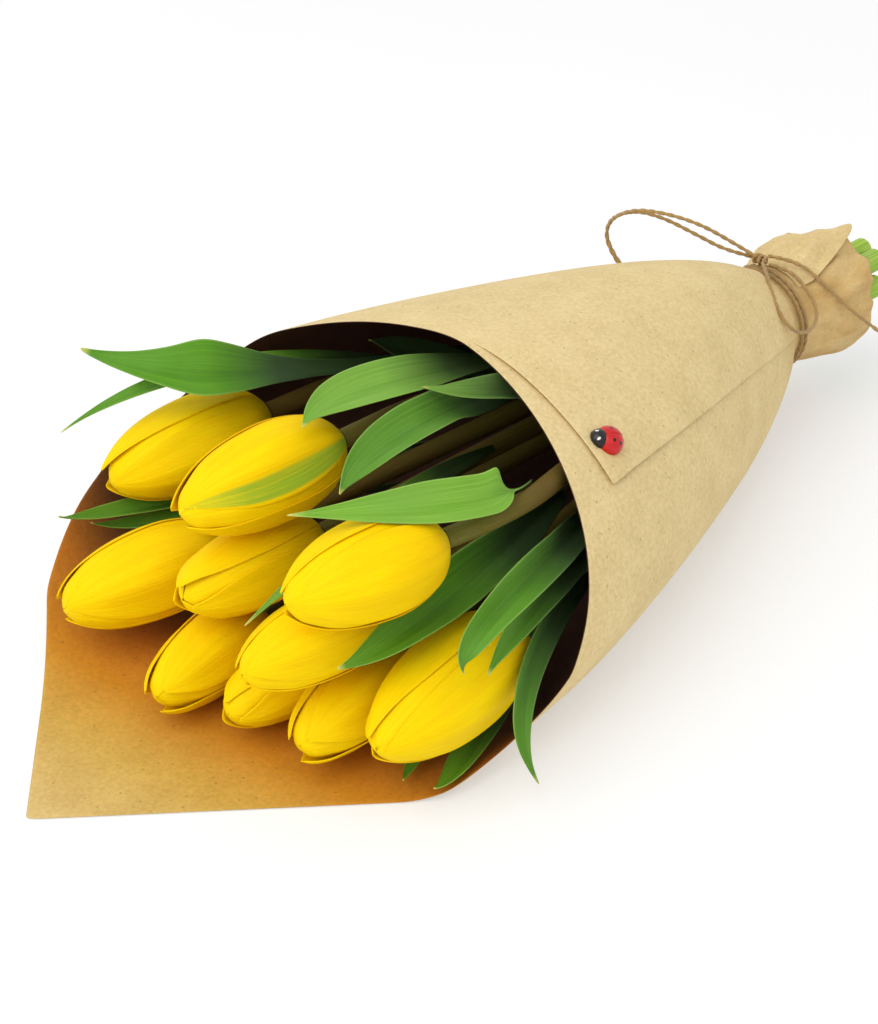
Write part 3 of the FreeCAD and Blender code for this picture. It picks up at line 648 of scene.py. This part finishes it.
def on_sheet(point):
    """True where the roll is paper, false where its mouth is open or the sheet has ended."""
    x, y, z = point
    if y * math.cos(LEFT_EDGE) > (x - TONGUE_X) * math.sin(LEFT_EDGE):
        return False
    if y * math.cos(RIGHT_EDGE) < (x - TONGUE_X) * math.sin(RIGHT_EDGE):
        return False
    if z < 1.5:
        return True
    if y > 0:
        low = z < 3 + y * math.tan(math.radians(18))
        return low or mouth_distance(point, LEFT_LEAN, LEFT_YAW) > 0
    low = z < 1.5 + (x - TURN_UP_X) * math.tan(math.radians(15))
    return low or mouth_distance(point, RIGHT_LEAN, RIGHT_YAW) > 0


def front_edge(around):
    """x where the sheet ends towards the flowers."""
    x = NECK_FRONT - 40
    while x > TONGUE_X and on_sheet(roll_point(x, around)):
        x -= 1.0
    low, high = x, x + 1.0
    for halving in range(8):
        middle = (low + high) / 2
        if on_sheet(roll_point(middle, around)):
            high = middle
        else:
            low = middle
    return high


# gathered folds: place round the roll and outward reach at the foot
FOLDS = [(-1.0, 2.0), (-0.93, 4.4), (-0.86, 0.5), (-0.76, 2.4), (-0.66, 3.6), (-0.58, 0.3),
         (-0.46, 3.0), (-0.36, 0.4), (-0.24, 1.2), (0.24, 1.2), (0.38, 0.3), (0.52, 3.2), (0.64, 0.4),
         (0.76, 2.8), (0.88, 0.3), (1.0, 2.0)]


def zigzag(value):
    """Wave between 0 and 1 with sharp turns, as creases have."""
    return 2 * abs(value % 1 - 0.5)


def fold(x, around):
    """Outward step of the gathered folds on both sides of the twine, in millimetres."""
    for (low, near), (high, far) in zip(FOLDS, FOLDS[1:]):
        if low <= around <= high:
            reach = near + (far - near) * (around - low) / (high - low)
            break
    behind = smooth(NECK_BACK, FOOT_X, x) ** 0.8
    before = smooth(95, 140, x) * (1 - smooth(141, NECK_FRONT, x))
    past = x - NECK_BACK
    crumple = 1.5 * zigzag(6 * around + past / 27) + 1.1 * zigzag(9 * around - past / 34)
    crumple *= smooth(0, 14, past) * smooth(FLAT_SHARE, FLAT_SHARE + 0.1, abs(around))
    return reach * (behind + 0.42 * before) + crumple


def fold_point(x, around, grow=0.0):
    point = roll_point(x, around, grow)
    flat, half, high, low = section_sizes(x)
    centre = Vector((x, 0, (high + low) / 2))
    outward = (point - centre).normalized()
    point += outward * fold(x, around)
    point.z = max(point.z, 0.0)
    return point


COLUMNS = 200
ROWS_FOOT = 22
ROWS_MOUTH = 84
AROUND = [-1 + 2 * column / COLUMNS for column in range(COLUMNS)]


def paper_edges():
    """Front edge for every column, rounded where the tongue turns up and drawn back on the left."""
    raw = [front_edge(around) for around in AROUND]
    edges = []
    for i, around in enumerate(AROUND):
        left_turn = smooth(0.26, 0.36, around) * smooth(0.56, 0.46, around)
        right_turn = smooth(-0.24, -0.34, around) * smooth(-0.52, -0.42, around)
        reach = round(3 * smooth(0.4, 0.6, abs(around)) + 5 * left_turn + 5 * right_turn)
        window = [raw[(i + step) % COLUMNS] for step in range(-reach, reach + 1)]
        sag = 22 * smooth(0.34, 0.62, around) * smooth(0.82, 0.64, around)
        edges.append(sum(window) / len(window) + sag)
    return edges


def foot_edge(around):
    """The gathered foot ends unevenly, with one corner of the sheet reaching out on top."""
    corner = max(0.0, 1 - abs(around + 0.85) / 0.2)
    return FOOT_X + 2.0 * math.sin(7 * around + 0.5) - 3.0 + 4.5 * corner


def paper_object():
    mouth_edges = paper_edges()
    foot_edges = [foot_edge(around) for around in AROUND]
    rows = []
    for i in range(ROWS_FOOT):
        share = i / ROWS_FOOT
        rows.append([fold_point(edge + (NECK_FRONT - edge) * share, around)
                     for around, edge in zip(AROUND, foot_edges)])
    for i in range(ROWS_MOUTH + 1):
        share = (i / ROWS_MOUTH) ** 1.1
        rows.append([fold_point(NECK_FRONT + (edge - NECK_FRONT) * share, around)
                     for around, edge in zip(AROUND, mouth_edges)])
    paper = mesh_object("paper_roll", rows, closed=True)
    paper.data.materials.append(PAPER_IN)
    paper.data.materials.append(PAPER_OUT)
    return paper


paper = paper_object()
thicken(paper, SHEET, offset=1.0, far_slot=1)
place(paper, "wrap", "kraft_paper", "kraft_wrap")


# Loose layer of the sheet over the foot: place round the roll and the x that the layer ends at
CORNER_END = [(0.70, 184), (0.86, 189), (1.0, 195), (1.06, 203), (1.09, 201), (1.16, 182), (1.22, 166)]


def corner_object():
    steps_long, steps_around = 24, 52
    rows = []
    for i in range(steps_long + 1):
        share = i / steps_long
        row = []
        for j in range(steps_around + 1):
            around = CORNER_END[0][0] + 0.01 * j
            end = curve_value(CORNER_END, around)
            x = NECK_BACK + 1 + (end - NECK_BACK - 1) * share
            wrapped = around if around <= 1 else around - 2
            row.append(fold_point(x, wrapped, 0.6 + 1.4 * share))
        rows.append(row)
    corner = mesh_object("paper_corner", rows)
    corner.data.materials.append(PAPER_CORNER)
    return corner


corner = corner_object()
thicken(corner, LAYER)
place(corner, "wrap", "kraft_paper")


# Flap: the second corner of the sheet, lapping over the crown to the right
FLAP_CORNER = Vector((CROWN_X - 2, -0.785 * MOUTH_HALF, 0))
FLAP_BACK = Vector((147, -22.3, 0))


def crown_around(x, y):
    """Place round the section of a point of the crown that lies at y."""
    flat, half, high, low = section_sizes(x)
    turn = math.acos(max(-1.0, min(1.0, abs(y) / half)))
    share = CORNER_SHARE + (1 - CORNER_SHARE) * turn / (math.pi / 2)
    return share if y >= 0 else -share


def flap_object():
    rows = []
    steps_long, steps_across = 70, 60
    for i in range(steps_long + 1):
        along = i / steps_long
        row = []
        for j in range(steps_across + 1):
            share = j / steps_across
            front_x = FLAP_CORNER.x + 3.0 * smooth(0, 0.75, share)
            x = front_x + (FLAP_BACK.x - front_x) * along
            edge_share = (x - FLAP_CORNER.x) / (FLAP_BACK.x - FLAP_CORNER.x)
            right = FLAP_CORNER.y + (FLAP_BACK.y - FLAP_CORNER.y) * edge_share
            inner = min(1.0, max(0.0, edge_share))
            right -= 5.5 * math.sin(math.pi * inner) * (1 - 0.4 * inner)
            left = 0.35 * section_sizes(x)[1]
            y = right + (left - right) * share
            lift = 0.42 - 1.2 * smooth(0.42, 0.68, share)
            lift += 0.35 * math.exp(-((x - FLAP_CORNER.x) / 12) ** 2) * math.exp(-(share / 0.1) ** 2)
            row.append(fold_point(x, crown_around(x, y), PAPER + lift))
        rows.append(row)
    flap = mesh_object("paper_flap", rows)
    flap.data.materials.append(PAPER_OUT)
    return flap


flap = flap_object()
thicken(flap, LAYER)
place(flap, "wrap", "kraft_paper")


# Tulip heads: places and turns repeat the CAD model
BUD_LENGTH = 62.0
BUD_DIAMETER = 34.0
BUD_PITCH = 35.0
BUD_REACH = 250.0
STEM_PITCH = 10.1


def spot(ahead, across, up):
    return Vector((NECK.x - BUD_REACH - ahead * BUD_LENGTH, across * BUD_PITCH, up * BUD_PITCH))


# name: bud base, yaw, dip, length factor, girth factor, stem place, roll of the tepals
TULIPS = {
    "left": ((-0.60, 1.95, 1.65), 12, 7, 1.10, 1.03, (1.0, 1), 20),
    "top": ((-0.20, 0.00, 2.40), 10, 7, 1.06, 1.00, (0.0, 1), 75),
    "low_left": ((0.10, 1.25, 0.86), 16, 7, 1.05, 1.03, (1.5, 0), 50),
    "middle": ((-0.10, 0.17, 1.31), 2, 0, 1.00, 0.92, (0.5, 0), 10),
    "top_right": ((0.08, -1.92, 2.34), 15, 6, 0.95, 1.00, (-1.0, 1), 35),
    "front": ((0.22, 0.50, 0.45), -13, 0, 0.97, 0.86, (1.0, -1), 95),
    "right_middle": ((0.18, -1.35, 1.46), 7, 4, 0.97, 0.88, (-0.5, 0), 60),
    "low_middle": ((0.00, -0.43, 0.46), -5, 0, 1.00, 0.83, (0.0, -1), 30),
    "low_right": ((0.00, -1.23, 0.58), -9, 2, 0.95, 0.88, (-1.0, -1), 85),
    "right": ((-0.37, -2.12, 1.03), -5, 6, 1.20, 1.06, (-1.5, 0), 45),
}
# along a tepal: its reach from the bud's axis as a share of the radius, and its width as a share
# of the greatest; the three heart tepals stay wide to close the tip
BUD_PROFILE = [(0.0, 0.20), (0.04, 0.45), (0.13, 0.76), (0.26, 0.93), (0.38, 1.0), (0.52, 0.99),
               (0.66, 0.92), (0.79, 0.78), (0.88, 0.62), (0.95, 0.44), (1.0, 0.27)]
HEART_PROFILE = BUD_PROFILE[:-3] + [(0.88, 0.60), (0.95, 0.43), (0.985, 0.25), (1.0, 0.03)]
TEPAL_WIDTH = [(0.0, 0.75), (0.15, 0.90), (0.4, 1.0), (0.62, 0.99), (0.78, 0.91), (0.89, 0.76),
               (0.96, 0.54), (1.0, 0.14)]
HEART_WIDTH = TEPAL_WIDTH[:3] + [(1.0, 1.0)]
HEART_INSET = 0.9
TEPAL_THICK = 0.6
TEPAL_LONG, TEPAL_ACROSS = 26, 14
# relief of a tepal in millimetres: groove along the middle, two ridges, a slow swell, a wavy edge
GROOVE, RIDGES, SWELL, WAVY_EDGE = 0.6, 0.85, 0.3, 0.2
# how far the tips of some buds stand apart, as a share of the bud's radius
OPENING = {"front": 0.08, "low_middle": 0.07, "low_right": 0.07, "low_left": 0.03, "middle": 0.05,
           "right_middle": 0.03}


def bud_axis(yaw, dip):
    level = math.cos(math.radians(dip))
    return Vector((-level * math.cos(math.radians(yaw)), level * math.sin(math.radians(yaw)),
                   -math.sin(math.radians(dip))))


def tepal_rows(profile, widths, length, radius, turn, half_angle, opening, closing, chance):
    """Grid of one tepal standing on z = 0 round the Z axis; s runs across it and t along it."""
    rows, uvs = [], []
    tip_in = chance.uniform(-0.02, 0.05) - closing
    tip_side = chance.uniform(-0.12, 0.12)
    wave = chance.uniform(0, 6.28)
    edge_lift = chance.uniform(-0.15, 0.1)
    for i in range(TEPAL_LONG + 1):
        t = i / TEPAL_LONG
        row, uv = [], []
        bulge = math.sin(math.pi * t)
        base = curve_value(profile, t) * radius
        base += (tip_in + opening) * radius * smooth(0.72, 1.0, t)
        width = curve_value(widths, t) * half_angle * (1 - 2.2 * opening * smooth(0.8, 1.0, t))
        for j in range(TEPAL_ACROSS + 1):
            s = 2 * j / TEPAL_ACROSS - 1
            angle = turn + s * width + tip_side * smooth(0.6, 1.0, t)
            reach = base - GROOVE * math.exp(-(s / 0.14) ** 2) * math.sin(math.pi * min(1.0, 1.1 * t))
            reach += RIDGES * math.cos(5.2 * s) * bulge
            reach += SWELL * math.sin(3.1 * s + wave) * (1 - s * s) * bulge
            reach += edge_lift * s * s * smooth(0.25, 0.8, t)
            reach += WAVY_EDGE * math.sin(5 * s + wave + 3 * t) * smooth(0.3, 0.9, t) * s * s
            row.append(Vector((reach * math.cos(angle), reach * math.sin(angle), length * t)))
            uv.append((j / TEPAL_ACROSS, t))
        rows.append(row)
        uvs.append(uv)
    return rows, uvs


def tulip_head(name, base, yaw, dip, length, girth, roll):
    """Three outer and three heart tepals in turn; one outer tepal of the top bud has a green streak."""
    chance = random.Random(name)
    bud_length = length * BUD_LENGTH
    radius = girth * BUD_DIAMETER / 2
    aim = Vector((0, 0, 1)).rotation_difference(bud_axis(yaw, dip))
    to_place = Matrix.Translation(spot(*base)) @ aim.to_matrix().to_4x4()
    # profile, widths, radius, height, least share of it, turn, half angle, opening, closing
    layers = ((BUD_PROFILE, TEPAL_WIDTH, radius, 1.0, 0.965, 0, 54, OPENING.get(name, 0.0), 0.03),
              (HEART_PROFILE, HEART_WIDTH, radius - HEART_INSET, 0.985, 0.99, 60, 62, 0.0, 0.06))
    parts = []
    for third in range(3):
        for layer in layers:
            profile, widths, reach, tall, least, turn, half, opening, closing = layer
            tall *= chance.uniform(least, 1.0)
            rows, uvs = tepal_rows(profile, widths, tall * bud_length, reach,
                                   math.radians(120 * third + turn + roll), math.radians(half),
                                   opening, closing, chance)
            rows = [[to_place @ point for point in row] for row in rows]
            part = mesh_object("tepal", rows, uvs)
            streaked = name == "top" and profile is BUD_PROFILE and third == 2
            part.data.materials.append(TEPAL_STREAKED if streaked else TEPAL)
            parts.append(part)
    head = joined("tulip_head_" + name, parts)
    thicken(head, TEPAL_THICK)
    place(head, "bunch", "tulip_tepal", "flower_head_" + name)


for name, (base, yaw, dip, length, girth, stem_at, roll) in TULIPS.items():
    tulip_head(name, base, yaw, dip, length, girth, roll)
    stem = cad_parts["stem_" + name]
    stem.data.materials.clear()
    stem.data.materials.append(STEM)


# Leaves: name, tulip, x of the base on its stem, middle and tip places, width, facing, cup
LEAVES = [
    ("long_left", "left", 25, (-0.27, 1.65, 2.48), (0.20, 3.25, 2.45), 23, (-0.45, -0.45, 0.8), 0.25),
    ("far_left", "left", 0, (-0.24, 2.06, 2.37), (0.52, 2.93, 1.80), 9, (0, -0.3, 1), 0.2),
    ("under_left", "low_left", -5, (0.10, 2.15, 0.95), (0.85, 2.25, 1.34), 11, (-0.2, -0.2, 1), 0.2),
    ("under_left_low", "front", 0, (-0.05, 1.95, 0.74), (0.60, 2.34, 1.03), 10, (-0.2, -0.2, 1), 0.2),
    ("over_top", "top", 20, (-0.45, -0.05, 2.85), (0.20, -0.25, 2.92), 20, (-0.3, -0.3, 1), 0.25),
    ("over_middle", "top", 5, (-0.30, -0.70, 2.68), (0.36, -1.05, 2.65), 19, (-0.3, -0.3, 1), 0.25),
    ("crown", "top_right", 45, (-1.13, -0.95, 2.64), (-0.65, -0.31, 2.80), 16, (-0.5, -0.3, 1), 0.3),
    ("curled", "top_right", -58, (0.04, -1.98, 2.72), (0.80, -1.20, 2.84), 16, (-0.2, -0.5, 0.85), 0.5),
    ("right_middle", "right_middle", -15, (0.10, -1.88, 1.60), (0.82, -1.86, 1.52), 20,
     (-0.3, -0.5, 1), 0.25),
    ("right_upper", "right", 30, (-0.05, -2.56, 1.95), (0.43, -2.77, 1.58), 16, (-0.2, -0.8, 0.8), 0.25),
    ("right_lower", "right", 10, (-0.44, -2.36, 1.57), (0.24, -2.75, 1.37), 14, (-0.2, -0.8, 0.8), 0.25),
    ("over_edge", "right", -20, (-0.11, -2.66, 1.08), (0.20, -3.35, 0.42), 12, (-0.2, -1, 0.5), 0.2),
    ("floor_right", "low_right", 10, (-0.10, -2.20, 0.30), (0.52, -2.55, 0.24), 13, (0, 0, 1), 0.15),
    ("between", "middle", -5, (-0.10, -0.65, 1.88), (0.98, -0.92, 1.66), 9, (-0.2, -0.2, 1), 0.2),
    ("floor_small", "low_right", -40, (0.10, -1.80, 0.18), (0.55, -2.20, 0.16), 8, (0, 0, 1), 0.15),
    ("inside_left", "middle", 45, (-1.45, 0.95, 2.10), (-1.05, 1.20, 2.50), 14, (-0.5, -0.3, 1), 0.25),
]
# the stems fan out from this x to a knee behind each bud
FAN_X = NECK_FRONT - 16
KNEE = 28.0
STEM_SEAT = 4.3
LEAF_THICK = 0.5
LEAF_LONG_STEPS, LEAF_ACROSS_STEPS = 40, 12
LEAF_COLOURS = {"over_top": LEAF_PALE, "crown": LEAF_PALE, "between": LEAF_PALE, "curled": LEAF_LIT,
                "long_left": LEAF_LONG}
# blades folded along the middle: rise of the edges as a share of the half width
FOLDED = {"right_upper": 0.62, "right_lower": 0.58, "right_middle": 0.45, "crown": 0.6,
          "under_left": 0.5, "under_left_low": 0.5, "over_edge": 0.5, "over_middle": 0.3}


def stem_place(tulip, x):
    """Point on the fanning run of a stem at x, and the direction of that run."""
    base, yaw, dip, length, girth, (across, row), roll = TULIPS[tulip]
    start = Vector((FAN_X, across * STEM_PITCH, NECK.z + row * STEM_PITCH * math.sqrt(0.75)))
    end = spot(*base) - bud_axis(yaw, dip) * KNEE
    return start.lerp(end, (start.x - x) / (start.x - end.x)), (end - start).normalized()


# width of a blade along its length, as a share of the greatest width
BLADE = [(0.0, 0.30), (0.2, 0.76), (0.4, 1.0), (0.55, 0.94), (0.7, 0.70), (0.82, 0.41), (0.92, 0.16),
         (1.0, 0.012)]
BLADES = {
    "long_left": [(0.0, 0.30), (0.3, 0.26), (0.42, 0.50), (0.52, 0.86), (0.6, 1.0), (0.7, 0.68),
                  (0.8, 0.40), (0.9, 0.19), (1.0, 0.012)],
    "curled": [(0.0, 0.16), (0.2, 0.16), (0.29, 0.72), (0.36, 0.95), (0.45, 1.0), (0.6, 0.95),
               (0.75, 0.66), (0.88, 0.32), (1.0, 0.012)],
}


def leaf_object(name, tulip, base_x, middle, tip, width, normal, cup):
    """Blade that clasps its stem at the base and turns to face its normal; s runs across it."""
    chance = random.Random(name)
    on_stem, run = stem_place(tulip, base_x)
    middle, tip, normal = spot(*middle), spot(*tip), Vector(normal)
    leaving = middle - on_stem
    outward = (leaving - run * leaving.dot(run)).normalized()
    base = on_stem + outward * STEM_SEAT
    control = middle * 2 - (base + tip) * 0.5
    clasp = outward if outward.dot(normal) > 0 else -outward
    ripple = chance.uniform(0, 6.28)
    rows, uvs = [], []
    for i in range(LEAF_LONG_STEPS + 1):
        along = i / LEAF_LONG_STEPS
        place_on = base * (1 - along) ** 2 + control * (2 * along * (1 - along)) + tip * along ** 2
        heading = ((control - base) * (1 - along) + (tip - control) * along).normalized()
        opened = min(1.0, along / 0.35)
        up = clasp * (1 - opened) + normal * opened
        up = (up - heading * up.dot(heading)).normalized()
        side = heading.cross(up)
        half = width / 2 * curve_value(BLADES.get(name, BLADE), along)
        fold_up = FOLDED.get(name, 0.12) * smooth(1.0, 0.6, along)
        row, uv = [], []
        for j in range(LEAF_ACROSS_STEPS + 1):
            s = 2 * j / LEAF_ACROSS_STEPS - 1
            rise = half * (fold_up * (math.hypot(s, 0.15) - 0.15) + 0.6 * cup * s * s)
            rippled = 0.035 * width * math.sin(9 * along + ripple + 1.2 * s)
            rise += rippled * s * s * smooth(0.1, 0.4, along)
            if name == "curled":
                rise += 5.5 * math.exp(-((along - 0.29) / 0.045) ** 2) * smooth(-0.2, 1.0, s)
            row.append(place_on + side * (half * s * math.sqrt(1 - fold_up ** 2)) + up * rise)
            uv.append((j / LEAF_ACROSS_STEPS, along))
        rows.append(row)
        uvs.append(uv)
    leaf = mesh_object("leaf_blade_" + name, rows, uvs)
    leaf.data.materials.append(LEAF_COLOURS.get(name, LEAF_DEEP))
    thicken(leaf, LEAF_THICK, offset=0.0)
    place(leaf, "bunch", "tulip_leaf", "leaf_" + name)


for leaf in LEAVES:
    leaf_object(*leaf)


# Ladybug on the flap, near its corner
BUG_X = CROWN_X + 8
BUG_HEADING = math.radians(-37)
BUG_SHARE = 0.735
BUG_LENGTH, BUG_WIDTH, BUG_HEIGHT, BUG_HEAD = 10.5, 11.0, 5.2, 3.6
PAD_THICK = 0.8


def flap_place(x, share):
    """Point on the outside of the flap at x, a share of the half width to the right."""
    flat, half, high, low = section_sizes(x)
    shoulder = low + half - flat
    rise = (high + PAPER - shoulder) * math.sqrt(1 - share ** 2)
    return Vector((x, -share * (half + PAPER), shoulder + rise))


def bug_matrix():
    """Frame on the flap: X to the mouth, Z outward."""
    along = flap_place(BUG_X - 1, BUG_SHARE) - flap_place(BUG_X + 1, BUG_SHARE)
    across = flap_place(BUG_X, BUG_SHARE + 0.01) - flap_place(BUG_X, BUG_SHARE - 0.01)
    outward = across.cross(along).normalized()
    if outward.z < 0:
        outward = -outward
    ahead = (along - outward * along.dot(outward)).normalized()
    side = outward.cross(ahead)
    turn = Matrix((ahead, side, outward)).transposed().to_4x4()
    move = Matrix.Translation(flap_place(BUG_X, BUG_SHARE) * MM)
    return move @ turn @ Matrix.Rotation(BUG_HEADING, 4, "Z")


def dome(name, half_length, half_width, height, groove=0.0):
    """Half ellipsoid with a flat underside and an optional groove along its middle."""
    steps_up, steps_round = 18, 48
    rows = []
    for i in range(steps_up + 1):
        rise = math.pi / 2 * (1 - i / steps_up)
        row = []
        for j in range(steps_round):
            turn = 2 * math.pi * j / steps_round
            x = half_length * math.cos(rise) * math.cos(turn)
            y = half_width * math.cos(rise) * math.sin(turn)
            sunk = groove * math.exp(-(y / 0.28) ** 2)
            row.append(Vector((x, y, (height - sunk) * math.sin(rise) ** 0.9)))
        rows.append(row)
    for shrink in (0.85, 0.45, 0.05):
        rows.append([Vector((point.x * shrink, point.y * shrink, 0)) for point in rows[steps_up]])
    return mesh_object(name, rows, closed=True)


def on_flap(obj, lift, ahead=0.0):
    obj.matrix_world = bug_matrix() @ Matrix.Translation(Vector((ahead, 0, lift)) * MM)


BLACK, RED, WHITE = (0.006, 0.005, 0.005), (0.60, 0.008, 0.008), (0.75, 0.73, 0.70)
WING_SPOTS = [(1.2, 2.4, 0.6), (1.2, -2.4, 0.6), (-1.6, 3.0, 0.6), (-1.6, -3.0, 0.6), (-3.4, 1.3, 0.5),
              (-3.4, -1.3, 0.5)]
HEAD_SPOTS = [(2.2, 1.6, 0.45), (2.2, -1.6, 0.45)]
BUG_LIFT = PAD_THICK + 0.1

shell = dome("ladybug_wings", BUG_LENGTH / 2, BUG_WIDTH / 2, BUG_HEIGHT, groove=0.45)
shell.data.materials.append(spotted_paint("ladybug_red", RED, BLACK, WING_SPOTS))
on_flap(shell, BUG_LIFT)
place(shell, "wrap", "ladybug_red", "ladybug_shell")

bug_head = dome("ladybug_face", BUG_HEAD, BUG_WIDTH / 2 - 1.8, BUG_HEIGHT - 1.4)
bug_head.data.materials.append(spotted_paint("ladybug_black", (0.012, 0.011, 0.011), WHITE, HEAD_SPOTS))
on_flap(bug_head, BUG_LIFT, BUG_LENGTH / 2 - 1.2)
place(bug_head, "wrap", "ladybug_black", "ladybug_head")

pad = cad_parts["ladybug_pad"]
pad.data.materials.clear()
pad.data.materials.append(pad_material())


# Floor, light and white surroundings
def seen_ray(tree):
    """1 for rays that show the background, 0 for rays that only light the object."""
    path = tree.nodes.new("ShaderNodeLightPath")
    mirrored = calc(tree, "MAXIMUM", path.outputs["Is Glossy Ray"], path.outputs["Is Transmission Ray"])
    return calc(tree, "MAXIMUM", path.outputs["Is Camera Ray"], mirrored)


def floor_object():
    """White floor that takes the shadow near the object and fades to plain white further off."""
    reach = 4000
    rows = [[Vector((x, y, -0.3)) for x in (-reach, 0, reach)] for y in (-reach, 0, reach)]
    floor = mesh_object("floor", rows)
    material, tree, shader = new_material("white_floor")
    soft = cloudy(tree, coords(tree), Scale=3, Detail=2)
    white = ramp(tree, soft, (0.3, 0.93), (0.7, 0.95))
    away = measure(tree, "LENGTH", coords(tree))
    glow = spread(tree, away, From_Min=0.6, From_Max=2.0, To_Min=0.38, To_Max=1.0)
    seen = calc(tree, "MULTIPLY", seen_ray(tree), glow)
    fill(tree, shader, Base_Color=mix(tree, seen, white, (0.0, 0.0, 0.0)), Emission_Color=(1, 1, 1),
         Emission_Strength=seen, Roughness=0.9, Specular_IOR_Level=0.1)
    floor.data.materials.append(material)


floor_object()


def soft_light(name, location, size, power):
    data = bpy.data.lights.new(name, "AREA")
    data.size = size
    data.energy = power
    light = bpy.data.objects.new(name, data)
    light.location = location
    heading = Vector((-0.02, 0, 0.03)) - Vector(location)
    light.rotation_euler = heading.to_track_quat("-Z", "Y").to_euler()
    bpy.context.collection.objects.link(light)


soft_light("key", (-1.4, 0.1, 1.6), 2.0, 26)
soft_light("fill", (-0.7, -1.2, 1.2), 1.2, 2)

world = bpy.data.worlds.new("white_room")
bpy.context.scene.world = world
world.use_nodes = True
sky = world.node_tree
strength = spread(sky, seen_ray(sky), To_Min=0.78, To_Max=1.0)
fill(sky, sky.nodes["Background"], Color=(1, 1, 1), Strength=strength)
bpy.context.scene.view_settings.view_transform = "Standard"
